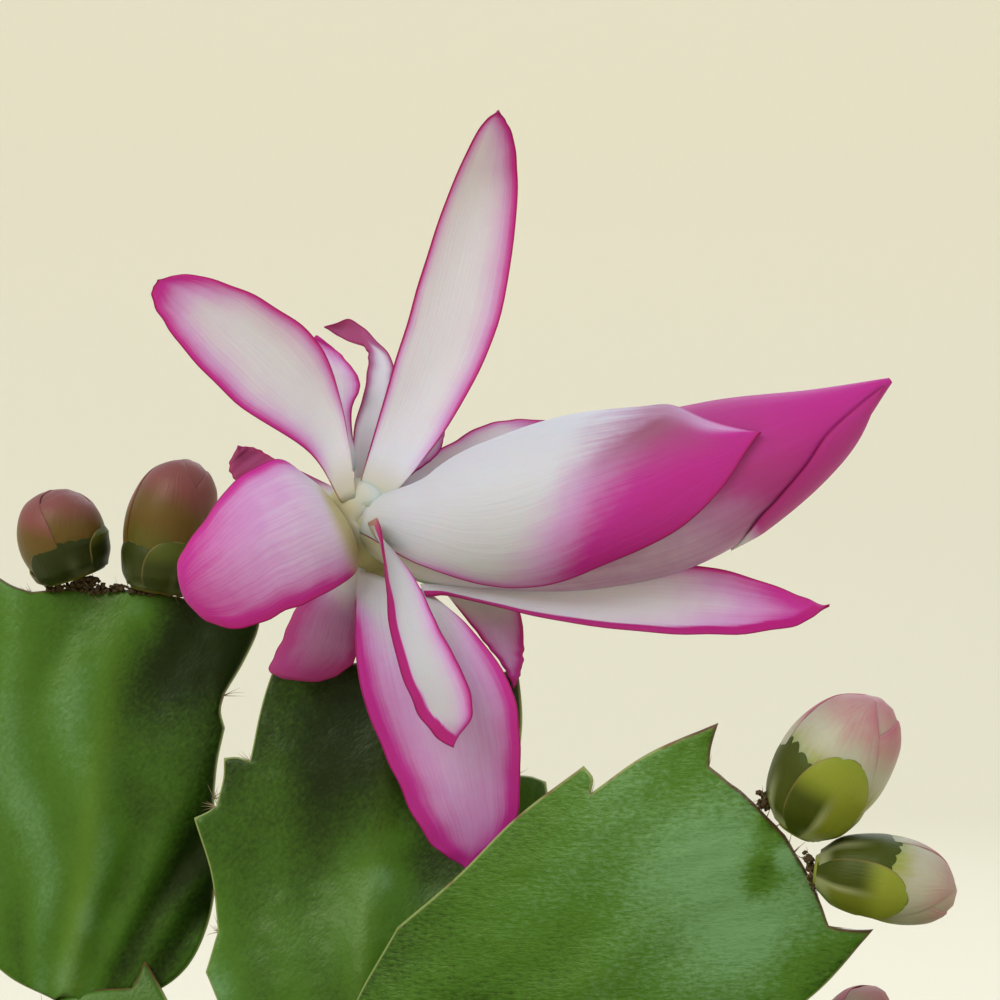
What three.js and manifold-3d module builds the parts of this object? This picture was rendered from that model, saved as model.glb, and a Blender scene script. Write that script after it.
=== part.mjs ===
// A potted christmas cactus: a clay pot of soil, arching chains of flat toothed stem segments,
// small buds on the segment ends and one open bloom with a closed, pointed heart.
// Millimetres, +Z up. The origin is the centre of the pot's base.
import * as THREE from 'three';
import { mergeVertices } from 'three/addons/utils/BufferGeometryUtils.js';
import Module from 'manifold-3d';

const wasm = await Module();
wasm.setup();

// Driving dimensions of the pot and the soil
const POT_HEIGHT = 105;
const POT_BASE_RADIUS = 45;
const POT_BODY_RADIUS = 58;
const POT_RIM_RADIUS = 66;
const RIM_HEIGHT = 23;
const RIM_STEP = 5;
const WALL = 5.5;
const FLOOR = 7;
const CHAMFER = 1.5;
const POT_SIDES = 40;
const DRAIN_COUNT = 3;
const DRAIN_RADIUS = 4.5;
const DRAIN_CIRCLE = 25;
const DRAIN_SIDES = 16;
// Soil surface: height of its edge, and its rise towards the middle at shares of its radius
const SOIL_TOP = 88;
const SOIL_RISE = 4;
const SOIL_MOUND = [[0.93, 0.1], [0.72, 0.35], [0.45, 0.75], [0, 1]];
const GAP = 0.3;

// Driving dimensions of the stems
const TRUNK_RADIUS = 3.6;
const TRUNK_SIDES = 8;
const TRUNK_FOOT = 66;
const TRUNK_TOP = 100;
const TRUNK_TAPER = [0.9, 1, 0.62];
const FIRST_BASE = 92;
const SINK = 2.8;
const MARGIN_THICKNESS = 0.9;
const SPINE = [0, 0.2, 0.42, 0.62, 0.8, 0.98];
const RIB_THICKNESS = [3.4, 3.0, 2.6, 2.3, 2.0, 1.6];
const OLD_THICKNESS = 1.3;

// Arching stems, level by level: how long and wide each segment is, and how steeply it rises.
// Each forks at its third level, by the given turn to both sides.
const FORK_LEVEL = 2;
const FORK_TILT = 7;
const PITCH_SPREAD = 8;
const TURN_SPREAD = 9;
const ARCH_BOW = 2.3;
const CUP_SPREAD = 3;
const LONG_STEM = {
  lengths: [36, 40, 40, 36], halfWidths: [10, 12.5, 13.5, 13], pitches: [70, 36, -6, -44],
  rootCircle: 31, fork: 20,
};
const SHORT_STEM = {
  lengths: [36, 38, 38], halfWidths: [10.5, 13, 13.5], pitches: [80, 52, 14],
  rootCircle: 24, fork: 27,
};

// Where each arching stem heads, in degrees round the pot from +X, how much steeper it rises
// than its form, and how far its faces roll about it
const MOUND_STEMS = [
  { heading: 10, form: LONG_STEM, lift: 2, roll: 5 },
  { heading: 46, form: SHORT_STEM, lift: -6, roll: -4 },
  { heading: 82, form: LONG_STEM, lift: -2, roll: 3 },
  { heading: 118, form: SHORT_STEM, lift: -5, roll: -5 },
  { heading: 154, form: LONG_STEM, lift: 0, roll: 4 },
  { heading: 198, form: SHORT_STEM, lift: 4, roll: -3 },
  { heading: 226, form: LONG_STEM, lift: 1, roll: 4 },
  { heading: 262, form: SHORT_STEM, lift: 3, roll: -4 },
  { heading: 298, form: LONG_STEM, lift: -1, roll: 4 },
  { heading: 334, form: SHORT_STEM, lift: 4, roll: -4 },
];

// Margins of a stem segment, from its neck to its apex: [share of half width, share of length]
const PLAIN = [[0.14, 0], [0.66, 0.17], [0.96, 0.42], [1, 0.66], [0.88, 0.86], [0.5, 0.97]];
const TOOTHED = [
  [0.14, 0], [0.67, 0.19], [0.89, 0.34], [0.9, 0.48], [1, 0.65], [1, 0.77], [0.85, 0.755],
  [0.82, 0.88], [0.74, 1], [0.57, 0.945], [0.3, 0.965],
];
const BROAD = [
  [0.14, 0], [0.42, 0.08], [0.67, 0.19], [0.88, 0.33], [0.9, 0.48], [1, 0.62],
  [1, 0.77], [0.85, 0.755], [0.82, 0.88], [0.74, 1], [0.57, 0.945], [0.3, 0.965],
];
const BROAD_LEFT = [
  [0.14, 0], [0.45, 0.09], [0.74, 0.19], [0.94, 0.3], [0.9, 0.385], [1.12, 0.61],
  [1, 0.64], [0.99, 0.74], [0.83, 0.74], [0.77, 0.87], [0.7, 1], [0.5, 0.95], [0.25, 0.965],
];
const BROAD_RIGHT = [
  [0.14, 0], [0.45, 0.09], [0.74, 0.19], [0.94, 0.33], [0.89, 0.4], [1.05, 0.62],
  [0.96, 0.757], [0.78, 0.765], [0.74, 0.88], [0.72, 0.99], [0.5, 0.95], [0.25, 0.965],
];
const ROUND_LEFT = [
  [0.1, 0], [0.5, 0.045], [0.82, 0.13], [0.98, 0.26], [0.99, 0.4], [0.92, 0.52],
  [1.05, 0.71], [0.93, 0.73], [0.97, 0.86], [1.06, 1], [0.72, 0.965], [0.35, 0.99],
];
const ROUND_RIGHT = [
  [0.1, 0], [0.6, 0.04], [0.86, 0.11], [0.99, 0.22], [1, 0.37], [0.91, 0.53],
  [0.92, 0.7], [0.88, 0.78], [1.07, 0.95], [1.05, 1.02], [0.78, 0.985], [0.35, 1],
];

// The bloom: the middle of its throat in the plant, and every measure below from there
const BLOOM = new THREE.Vector3(-5, 2, 234);
const TEPAL_THICKNESS = 0.8;
const TEPAL_STEPS = 6;
const TEPAL_END = 0.97;
const ACROSS = [-1, -0.5, 0, 0.5, 1];

// Spreading tepals, each between its left and right margins as seen with the tip up and the inner
// face forward. The belly says how far the middle stands out, as a share of the breadth.
const TEPALS = [
  {
    left: [
      [0.4, -1.2, 0.8], [2.6, 3.6, 9.4], [5.8, 4, 20.2], [9.4, 2, 31.2], [13.2, -2, 38.6],
      [14.8, -3, 39.8],
    ],
    right: [
      [2.8, -1.2, -0.2], [9.6, 4, 8.4], [14.8, 4.4, 19],
      [16.8, 2, 33.2], [16, -2, 38.2], [14.8, -3, 39.8],
    ],
    belly: -0.1,
  },
  {
    left: [
      [-1, -1.3, 0.8], [-3.8, -2, 5.4], [-11.4, -5, 10.8], [-17.6, -7, 17.8], [-19.2, -7.6, 21.2],
      [-18.6, -7.6, 22.6],
    ],
    right: [
      [0.6, -1.3, 1.2], [-1, -0.4, 11], [-3.2, -2.4, 16.8], [-9.6, -5.6, 21.4], [-15.8, -7, 23.2],
      [-18.6, -7.6, 22.6],
    ],
    belly: -0.08,
  },
  {
    left: [[-1, 3, 4], [-3.2, 5, 9.2], [-5, 6.4, 13.8], [-5.4, 7, 17.4], [-3.8, 7, 18]],
    right: [[0.4, 3, 4], [-0.2, 5, 10.2], [0.6, 6, 13], [-1.2, 6.8, 15.8], [-3.8, 7, 18]],
    belly: -0.05, small: true,
  },
  {
    left: [
      [0.2, 2.2, 2.2], [0, 5, 8.2], [0.8, 8, 11.8], [1.2, 11, 15.6], [0.8, 13, 17], [-1.4, 15.6, 18],
      [-3.8, 16, 19.4],
    ],
    right: [
      [2.2, 2.2, 2], [2.8, 6, 8.8], [3.6, 9, 12.6], [3.8, 11, 15.4], [1.6, 13.6, 18.2], [-1, 15.6, 20.2],
      [-3.8, 16, 19.4],
    ],
    belly: -0.1,
  },
  {
    left: [
      [-0.4, 1, -4], [0.8, -4, -6], [-1.8, -8, -8], [-5.8, -11, -9.8], [-10, -12, -11.4],
      [-13.6, -11, -10.6], [-15.4, -10, -8.6],
    ],
    right: [
      [-2.2, 1, 0.2], [-4.5, -3, 3.4], [-6.8, -7, 5], [-10.6, -10, 3], [-13.6, -11.6, -1],
      [-16.2, -11, -5.2], [-15.4, -10, -8.6],
    ],
    belly: 0.12,
  },
  {
    left: [[0, 2.5, -0.6], [-7.8, 7, 2], [-12, 9, 2.6], [-13.2, 9, 4.4], [-12.2, 8, 6.6]],
    right: [[0, 2.5, 1.4], [-5.6, 7, 4], [-8.6, 8.4, 5.4], [-10.4, 8.4, 6.4], [-12.2, 8, 6.6]],
    belly: 0.05, small: true,
  },
  {
    left: [
      [1.4, 1, -6], [1, 0.6, -9.6], [1, 0, -12.6], [0.2, -0.4, -15.4], [-2.8, -0.5, -17.2],
      [-6.8, -0.5, -17],
    ],
    right: [
      [-1, 1.5, -5], [-3.4, 1, -8.2], [-5.6, 0.5, -10], [-7, 0, -13.2], [-8.2, -0.5, -16.2],
      [-6.8, -0.5, -17],
    ],
    belly: 0.1,
  },
  {
    left: [
      [7.6, -2, -8], [12, -5, -11.6], [16.2, -7.6, -17.6], [17, -8, -25], [16.2, -7.6, -31.2],
      [11.6, -7, -35.2],
    ],
    right: [
      [0.8, -1, -6], [0.6, -5, -11], [1.4, -8, -17.6], [4.4, -9, -25.2], [8.2, -8, -32.6],
      [11.6, -7, -35.2],
    ],
    belly: -0.06,
  },
  {
    left: [
      [2.8, -1, -3], [5.2, -6, -4.8], [7.4, -8.4, -8], [9.2, -11, -11.6], [11.4, -12.4, -15.6],
      [12.4, -13, -19.4], [10.4, -12, -22.6],
    ],
    right: [
      [1.8, -2, -1.2], [2.6, -7, -1.6], [3.4, -9, -5], [4.2, -11, -11], [6, -13, -17.2], [8.2, -13, -21],
      [10.4, -12, -22.6],
    ],
    belly: -0.12,
  },
  {
    left: [
      [7, -2, -7.4], [15, -3, -7.4], [26, -3, -5.8], [35.4, -3, -5.6], [43.6, -4, -8],
      [47.6, -5, -9.8],
    ],
    right: [
      [7.6, -3, -8.6], [12, -4.4, -9.4], [20.2, -5.6, -11.2], [33.8, -6, -12.6], [44, -6, -11.8],
      [47.6, -5, -9.8],
    ],
    belly: -0.1,
  },
  {
    left: [[15, 2, -8], [17, 1.6, -10.4], [17.4, 0.8, -13.8], [17.2, 0.2, -16], [16.4, -0.4, -18]],
    right: [[9, 0, -7.8], [11.6, 0, -11], [13.6, 0, -13.6], [15.2, -0.2, -15.6], [16.4, -0.4, -18]],
    belly: 0.05,
  },
  {
    left: [[3, 2.4, 1.4], [6, 5.6, 4.6], [9.8, 7, 6.8], [13.4, 8, 8.8], [18.2, 8.4, 9.4], [25.4, 8, 8.2]],
    right: [
      [4.2, 2.4, 0.2], [8.8, 6, 2.8], [14, 7.6, 5.2],
      [18.2, 8, 6.2], [21.8, 8.4, 6.8], [25.4, 8, 8.2],
    ],
    belly: -0.08,
  },
  {
    left: [[2, 3, 2.8], [5.2, 4, 5.4], [7.6, 5, 7.2], [9.4, 6, 8.4]],
    right: [[3.2, 3, 1.8], [6, 4, 3.6], [8.8, 5.6, 6], [9.4, 6, 8.4]],
    belly: -0.05, small: true,
  },
];

// The closed heart of the bloom: stations along its axis, and the radius at each
const HEART_AXIS = [
  [0.5, 1.4, -1.2], [8.3, 0, -2.3], [15, -1, -1.1], [23, -2, 0.4],
  [31.5, -3, 1.9], [39, -3.5, 4.8], [46.3, -4, 8.2], [53.8, -4, 12.9],
];
const HEART_RADII = [2.3, 5.4, 7.4, 8.5, 8.1, 6.7, 4.1, 0.3];
const HEART_SIDES = 10;

// Tepals wrapped round the heart: the stretch of it they cover, the angles of their two margins
// at the start, the middle and the tip, counted from the top towards the front, and their lift
const WRAPS = [
  { from: 0.04, to: 0.765, left: [-20, -6, 68], right: [110, 142, 80], lift: 0.6 },
  { from: 0.64, to: 0.97, left: [181, 123, 85], right: [190, 225, 105], lift: 0.4 },
  { from: 0.1, to: 0.9, left: [190, 200, 285], right: [320, 335, 300], lift: 0.7 },
];
const WRAP_STEPS = 6;

// The tube that bends from the ovary to the throat, and the ovary below it
const TUBE_PATH = [[2.7, 4, -7.2], [2.4, 4, -5.4], [0.9, 2.6, -2.8], [0.8, 1.4, 0.2], [3.5, 0.6, 0.4]];
const TUBE_RADII = [2.2, 2.8, 3.4, 3.3, 2.8];
const OVARY_PATH = [[4.8, 4, -14.6], [4.4, 4, -12.6], [3.6, 4, -9.7], [2.9, 4, -7.8]];
const OVARY_RADII = [1.5, 2.7, 3, 2.2];
const TUBE_SIDES = 10;

// Buds: radius along the length, as a share of the largest, for slim and broad feet, and the
// sepals wrapped round them
const BUD_STATIONS = [0, 0.14, 0.36, 0.6, 0.84, 0.95, 1];
const SLIM_FOOT = [0.36, 0.72, 0.93, 1, 0.78, 0.48, 0.2];
const BROAD_FOOT = [0.76, 0.88, 0.97, 1, 0.8, 0.5, 0.2];
const BUD_SIDES = 8;
const BUD_SEPALS = [
  { from: 0.04, to: 0.52, middle: 120, spread: 70 },
  { from: 0.04, to: 0.62, middle: 205, spread: 62 },
];
// Buds seen close by: the axis of each, from its seat on a segment's end to its tip
const BUDS = {
  bud_front_upper: {
    axis: [[37.6, -18, 203.9], [40.7, -19, 209.7], [45.8, -20, 216.1]],
    radius: 4.7,
    turn: -28,
  },
  bud_front_lower: {
    axis: [[39.4, -18.3, 200.5], [46.1, -19.4, 199.7], [52.2, -20.5, 198.1]],
    radius: 3.6,
    turn: -20,
  },
  bud_left_outer: {
    axis: [[-35.4, 20, 226.8], [-36.8, 19.5, 230.9], [-37, 19, 236.1]],
    radius: 4.2,
    turn: 30,
    shares: BROAD_FOOT,
  },
  bud_left_inner: {
    axis: [[-26.4, 20, 225.3], [-25.4, 19.5, 232], [-22.9, 19, 239.1]],
    radius: 4.3,
    turn: -15,
    shares: BROAD_FOOT,
  },
  bud_right: {
    axis: [[44.9, 21, 170.3], [47.8, 22.5, 176.2], [51.3, 24, 181.8]],
    radius: 3.6,
    turn: 0,
  },
};

// Buds on some ends of the mound, pointing on outwards and a little up
const MOUND_BUD_LENGTH = 10;
const MOUND_BUD_RADIUS = 3.5;
const MOUND_BUD_RISE = 25;
const MOUND_BUD_SHARE = 0.28;

// How far a wrapped sepal or tepal stands out, and how deep its root reaches into what it wraps
const SEPAL_LIFT = 0.7;
const WRAP_DEPTH = 1.3;

const COLOURS = {
  clay: 0xb5694a, soil: 0x3b2a20, segment: 0x3f6b2c, bloom: 0xe9a3cf, ovary: 0x7d9a3e, bud: 0xc98a86,
};

const vector = (values) => new THREE.Vector3(...values);
const radians = THREE.MathUtils.degToRad;

// A repeatable draw from 0 to 1 for a whole number
function draw(seed) {
  const value = Math.sin(seed * 12.9898) * 43758.5453;
  return value - Math.floor(value);
}

function clayMaterial() {
  return new THREE.MeshStandardMaterial({ color: COLOURS.clay, roughness: 0.85, metalness: 0 });
}

function soilMaterial() {
  return new THREE.MeshStandardMaterial({ color: COLOURS.soil, roughness: 1, metalness: 0 });
}

function segmentMaterial() {
  return new THREE.MeshStandardMaterial({ color: COLOURS.segment, roughness: 0.4, metalness: 0 });
}

function bloomMaterial() {
  return new THREE.MeshStandardMaterial({ color: COLOURS.bloom, roughness: 0.55, metalness: 0 });
}

function ovaryMaterial() {
  return new THREE.MeshStandardMaterial({ color: COLOURS.ovary, roughness: 0.5, metalness: 0 });
}

function budMaterial() {
  return new THREE.MeshStandardMaterial({ color: COLOURS.bud, roughness: 0.5, metalness: 0 });
}

// A solid from a list of points and a list of triangles that index them
function solidOf(points, triangles) {
  const vertProperties = new Float32Array(points.flatMap((p) => [p.x, p.y, p.z]));
  const triVerts = new Uint32Array(triangles.flat());
  return new wasm.Manifold(new wasm.Mesh({ numProp: 3, vertProperties, triVerts }));
}

// A solid from a closed three.js geometry
function solidOfGeometry(geometry) {
  geometry.deleteAttribute('normal');
  geometry.deleteAttribute('uv');
  const merged = mergeVertices(geometry, 1e-3);
  const kept = [];
  const index = merged.index.array;
  for (let i = 0; i < index.length; i += 3) {
    const [a, b, c] = [index[i], index[i + 1], index[i + 2]];
    if (a !== b && b !== c && c !== a) kept.push(a, b, c);
  }
  const vertProperties = new Float32Array(merged.attributes.position.array);
  return new wasm.Manifold(
    new wasm.Mesh({ numProp: 3, vertProperties, triVerts: new Uint32Array(kept) }),
  );
}

function meshOf(name, solid, material) {
  const { vertProperties, triVerts } = solid.getMesh();
  const geometry = new THREE.BufferGeometry();
  geometry.setAttribute('position', new THREE.BufferAttribute(new Float32Array(vertProperties), 3));
  geometry.setIndex(new THREE.BufferAttribute(new Uint32Array(triVerts), 1));
  geometry.computeVertexNormals();
  const mesh = new THREE.Mesh(geometry, material);
  mesh.name = name;
  return mesh;
}

// Solids fused into one, with any hollow that the fusing sealed filled in
function joined(solids) {
  const whole = solids.reduce((sum, next) => sum.add(next));
  const outer = whole.decompose().filter((piece) => piece.volume() > 0);
  return outer.reduce((sum, next) => sum.add(next));
}

// A closed solid through rings of points, flat at both ends
function loft(rings) {
  const sides = rings[0].length;
  const points = rings.flat();
  const triangles = [];
  for (let i = 0; i + 1 < rings.length; i += 1) {
    for (let j = 0; j < sides; j += 1) {
      const a = i * sides + j;
      const b = i * sides + ((j + 1) % sides);
      triangles.push([a, b, b + sides], [a, b + sides, a + sides]);
    }
  }
  const last = (rings.length - 1) * sides;
  for (let j = 1; j + 1 < sides; j += 1) {
    triangles.push([0, j + 1, j], [last, last + j, last + j + 1]);
  }
  return solidOf(points, triangles);
}

// Value of a curve through (stations, values) at t, smooth between the stations
function smooth(stations, values, t) {
  let k = 0;
  while (k < stations.length - 2 && t > stations[k + 1]) k += 1;
  const span = stations[k + 1] - stations[k];
  const slope = (i) => {
    if (i <= 0 || i >= stations.length - 1) {
      const j = Math.min(Math.max(i, 0), stations.length - 2);
      return i <= 0 ? (values[1] - values[0]) / (stations[1] - stations[0])
        : (values[j + 1] - values[j]) / (stations[j + 1] - stations[j]);
    }
    return (values[i + 1] - values[i - 1]) / (stations[i + 1] - stations[i - 1]);
  };
  const s = (t - stations[k]) / span;
  const h1 = 2 * s ** 3 - 3 * s ** 2 + 1;
  const h2 = s ** 3 - 2 * s ** 2 + s;
  const h3 = -2 * s ** 3 + 3 * s ** 2;
  const h4 = s ** 3 - s ** 2;
  return h1 * values[k] + h2 * span * slope(k) + h3 * values[k + 1] + h4 * span * slope(k + 1);
}

// A spindle round an axis: the centre, the radius and the two cross directions at a share of it
function spindle(axisPoints, radii, up) {
  const curve = new THREE.CatmullRomCurve3(axisPoints, false, 'centripetal');
  const stations = radii.map((_, i) => i / (radii.length - 1));
  return (share) => {
    const centre = curve.getPoint(share);
    const along = curve.getTangent(share);
    const front = along.clone().cross(up).normalize();
    const top = front.clone().cross(along);
    return { centre, radius: smooth(stations, radii, share), front, top };
  };
}

// The point and outward direction on a spindle at an angle from its top towards its front
function onSpindle(place, angle, lift) {
  const out = place.top.clone().multiplyScalar(Math.cos(angle));
  out.addScaledVector(place.front, Math.sin(angle));
  const point = place.centre.clone().addScaledVector(out, place.radius + lift);
  return { point, out };
}

function spindleSolid(shape, shares, sides) {
  const rings = shares.map((share) => {
    const place = shape(share);
    const ring = [];
    for (let j = 0; j < sides; j += 1) {
      ring.push(onSpindle(place, (j * 2 * Math.PI) / sides, 0).point);
    }
    return ring;
  });
  return loft(rings);
}

// A closed blade from a grid of places, each with the direction its upper face looks
function blade(grid, thickness) {
  const rows = grid.length;
  const columns = grid[0].length;
  const points = [];
  for (const side of [0.5, -0.5]) {
    for (const row of grid) {
      for (const place of row) {
        points.push(place.point.clone().addScaledVector(place.out, side * thickness));
      }
    }
  }
  const under = rows * columns;
  const at = (i, j) => i * columns + j;
  const triangles = [];
  for (let i = 0; i + 1 < rows; i += 1) {
    for (let j = 0; j + 1 < columns; j += 1) {
      const [a, b, c, d] = [at(i, j), at(i, j + 1), at(i + 1, j + 1), at(i + 1, j)];
      triangles.push([a, b, c], [a, c, d]);
      triangles.push([a + under, c + under, b + under], [a + under, d + under, c + under]);
    }
  }
  const wall = (a, b) => triangles.push([b, a, a + under], [b, a + under, b + under]);
  for (let j = 0; j + 1 < columns; j += 1) {
    wall(at(0, j), at(0, j + 1));
    wall(at(rows - 1, j + 1), at(rows - 1, j));
  }
  for (let i = 0; i + 1 < rows; i += 1) {
    wall(at(i + 1, 0), at(i, 0));
    wall(at(i, columns - 1), at(i + 1, columns - 1));
  }
  return solidOf(points, triangles);
}

// Pot and soil
function potSolid() {
  const rimBottom = POT_HEIGHT - RIM_HEIGHT;
  const rimLow = POT_BODY_RADIUS + RIM_STEP;
  const innerShoulder = POT_BODY_RADIUS - WALL;
  const profile = [
    [0, 0], [POT_BASE_RADIUS - CHAMFER, 0], [POT_BASE_RADIUS, CHAMFER],
    [POT_BODY_RADIUS, rimBottom], [rimLow, rimBottom + CHAMFER],
    [POT_RIM_RADIUS, POT_HEIGHT - CHAMFER], [POT_RIM_RADIUS - CHAMFER, POT_HEIGHT],
    [POT_RIM_RADIUS - WALL, POT_HEIGHT], [innerShoulder + RIM_STEP, rimBottom + CHAMFER],
    [innerShoulder, rimBottom - WALL], [POT_BASE_RADIUS - WALL, FLOOR], [0, FLOOR],
  ].map(([radius, height]) => new THREE.Vector2(radius, height));
  const lathe = new THREE.LatheGeometry(profile, POT_SIDES).rotateX(Math.PI / 2);
  let solid = solidOfGeometry(lathe);
  for (let i = 0; i < DRAIN_COUNT; i += 1) {
    const angle = (i * 2 * Math.PI) / DRAIN_COUNT;
    const hole = new THREE.CylinderGeometry(DRAIN_RADIUS, DRAIN_RADIUS, FLOOR * 3, DRAIN_SIDES);
    hole.rotateX(Math.PI / 2);
    hole.translate(DRAIN_CIRCLE * Math.cos(angle), DRAIN_CIRCLE * Math.sin(angle), 0);
    solid = solid.subtract(solidOfGeometry(hole));
  }
  return solid;
}

function soilSolid(roots) {
  const shoulder = POT_HEIGHT - RIM_HEIGHT - WALL;
  const innerShoulder = POT_BODY_RADIUS - WALL;
  const edge = innerShoulder + RIM_STEP - GAP;
  const profile = [
    [0, FLOOR + GAP], [POT_BASE_RADIUS - WALL - GAP, FLOOR + GAP], [innerShoulder - GAP, shoulder],
    [edge - GAP, SOIL_TOP],
    ...SOIL_MOUND.map(([share, rise]) => [edge * share, SOIL_TOP + SOIL_RISE * rise]),
  ].map(([radius, height]) => new THREE.Vector2(radius, height));
  const lathe = new THREE.LatheGeometry(profile, POT_SIDES).rotateX(Math.PI / 2);
  const holeRadius = TRUNK_RADIUS + GAP / Math.cos(Math.PI / TRUNK_SIDES);
  const holes = roots.map((root) => trunk(root, holeRadius, GAP));
  return holes.reduce((solid, hole) => solid.subtract(hole), solidOfGeometry(lathe));
}

// The round, woody foot of a stem
function trunk(root, radius, deeper) {
  const heights = [TRUNK_FOOT - deeper, FIRST_BASE + 2, TRUNK_TOP];
  const rings = heights.map((height, level) => {
    const r = radius * TRUNK_TAPER[level];
    const ring = [];
    for (let j = 0; j < TRUNK_SIDES; j += 1) {
      const angle = (j * 2 * Math.PI) / TRUNK_SIDES;
      ring.push(vector([root[0] + r * Math.cos(angle), root[1] + r * Math.sin(angle), height]));
    }
    return ring;
  });
  return loft(rings);
}

// One flat segment: a thick rib down the middle, and a thin toothed margin on each side
function segmentSolid({
  base, tip, face, halfWidth, left = TOOTHED, right = TOOTHED, bow = 1.5, cup = 0, thick = 1,
}) {
  const along = tip.clone().sub(base);
  const length = along.length();
  along.normalize();
  const side = along.clone().cross(face).normalize();
  const up = side.clone().cross(along);
  const place = (across, share, lift) => {
    const point = base.clone().addScaledVector(along, share * length);
    point.addScaledVector(side, across * halfWidth);
    const rise = bow * Math.sin(Math.PI * Math.min(share, 1)) + cup * across * across + lift;
    return point.addScaledVector(up, rise);
  };
  const points = [];
  const triangles = [];
  const faces = [1, -1];
  SPINE.forEach((share, i) => {
    faces.forEach((sign) => points.push(place(0, share, sign * 0.5 * RIB_THICKNESS[i] * thick)));
  });
  // A triangle of the right upper face, its twin below, and turned over for the left side
  const add = (a, b, c, sign) => {
    triangles.push(sign > 0 ? [a, b, c] : [a, c, b]);
    triangles.push(sign > 0 ? [a + 1, c + 1, b + 1] : [a + 1, b + 1, c + 1]);
  };
  const wall = (a, b, sign) => {
    triangles.push(sign > 0 ? [a, a + 1, b + 1] : [a, b + 1, a + 1]);
    triangles.push(sign > 0 ? [a, b + 1, b] : [a, b, b + 1]);
  };
  const apex = 2 * (SPINE.length - 1);
  [[right, 1], [left, -1]].forEach(([margin, sign]) => {
    const first = points.length;
    let rib = 0;
    margin.forEach(([across, share], i) => {
      faces.forEach((turned) => {
        points.push(place(sign * across, share, turned * 0.5 * MARGIN_THICKNESS));
      });
      if (i === 0) return;
      const here = first + 2 * i;
      add(2 * rib, here - 2, here, sign);
      wall(here - 2, here, sign);
      while (rib < SPINE.length - 2 && share > (SPINE[rib] + SPINE[rib + 1]) / 2) {
        add(2 * rib, here, 2 * rib + 2, sign);
        rib += 1;
      }
    });
    const end = points.length - 2;
    add(2 * rib, end, apex, sign);
    wall(end, apex, sign);
    triangles.push(sign > 0 ? [0, 1, first + 1] : [0, first + 1, 1]);
    triangles.push(sign > 0 ? [0, first + 1, first] : [0, first, first + 1]);
  });
  return solidOf(points, triangles);
}

// Direction of a segment from its heading round the pot and its rise, and the way its face looks
function direction(heading, pitch) {
  const [h, p] = [radians(heading), radians(pitch)];
  return vector([Math.cos(p) * Math.cos(h), Math.cos(p) * Math.sin(h), Math.sin(p)]);
}

function upperFace(heading, pitch, roll) {
  const face = direction(heading, pitch + 90);
  return face.applyAxisAngle(direction(heading, pitch), radians(roll));
}

// Segments of a mound stem from one level outwards, forking once
function growMound(plan, stem, level, base, heading, tilt, seed) {
  const { lengths, halfWidths, pitches, fork } = plan.form;
  const vary = (size, spread, step) => size * (1 + spread * (draw(seed + step) - 0.5));
  const lean = plan.lift * Math.min(level, 2) + tilt + PITCH_SPREAD * (draw(seed) - 0.5);
  const pitch = pitches[level] + lean;
  const tip = base.clone().addScaledVector(direction(heading, pitch), vary(lengths[level], 0.14, 1));
  stem.segments.push({
    base,
    tip,
    face: upperFace(heading, pitch, plan.roll * (1 + level)),
    halfWidth: vary(halfWidths[level], 0.12, 2),
    bow: vary(ARCH_BOW, 0.6, 3),
    cup: CUP_SPREAD * (draw(seed + 4) - 0.5),
    thick: level === 0 ? OLD_THICKNESS : 1,
    left: level === 0 ? PLAIN : TOOTHED,
    right: level === 0 ? PLAIN : TOOTHED,
  });
  if (level === pitches.length - 1) {
    stem.ends.push({ tip, heading, pitch, seed });
    return;
  }
  const wander = TURN_SPREAD * (draw(seed + 5) - 0.5);
  const turns = level + 1 === FORK_LEVEL ? [-fork, fork] : [wander];
  turns.forEach((turn, i) => {
    const next = tip.clone().addScaledVector(direction(heading, pitch), -SINK);
    const nextTilt = turns.length > 1 ? FORK_TILT * (1 - 2 * i) : tilt;
    growMound(plan, stem, level + 1, next, heading + turn, nextTilt, seed + 7 * (i + 1) + 20 * level);
  });
}

function moundStem(plan, index) {
  const angle = radians(plan.heading);
  const root = [plan.form.rootCircle * Math.cos(angle), plan.form.rootCircle * Math.sin(angle)];
  const stem = { root, segments: [], ends: [] };
  growMound(plan, stem, 0, vector([...root, FIRST_BASE]), plan.heading, 0, 100 * (index + 1));
  return stem;
}

// The upright stem that carries the bloom: two plain segments, then one behind and one in front
function bloomStem() {
  return {
    root: [-4, -1],
    segments: [
      {
        base: vector([-4, -1, FIRST_BASE]), tip: vector([-8, -1, 134]), face: vector([0.6, -1, 0]),
        halfWidth: 11, thick: OLD_THICKNESS, left: PLAIN, right: PLAIN,
      },
      {
        base: vector([-7.8, -1, 131.5]), tip: vector([-5.4, -3, 173.5]), face: vector([-0.3, -1, 0]),
        halfWidth: 13.5,
      },
      {
        base: vector([-5.4, -2, 171.5]), tip: vector([-0.2, 6, 219.7]), face: vector([-0.1, -1, 0.1]),
        halfWidth: 17, left: BROAD_LEFT, right: BROAD_RIGHT, bow: -1, cup: 1,
      },
      {
        base: vector([-5.6, -5, 171.2]), tip: vector([37.6, -18, 204.3]), face: vector([0.2, -0.95, 0.2]),
        halfWidth: 16.3, left: BROAD, right: BROAD, bow: 2, cup: -1.5,
      },
    ],
  };
}

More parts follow.
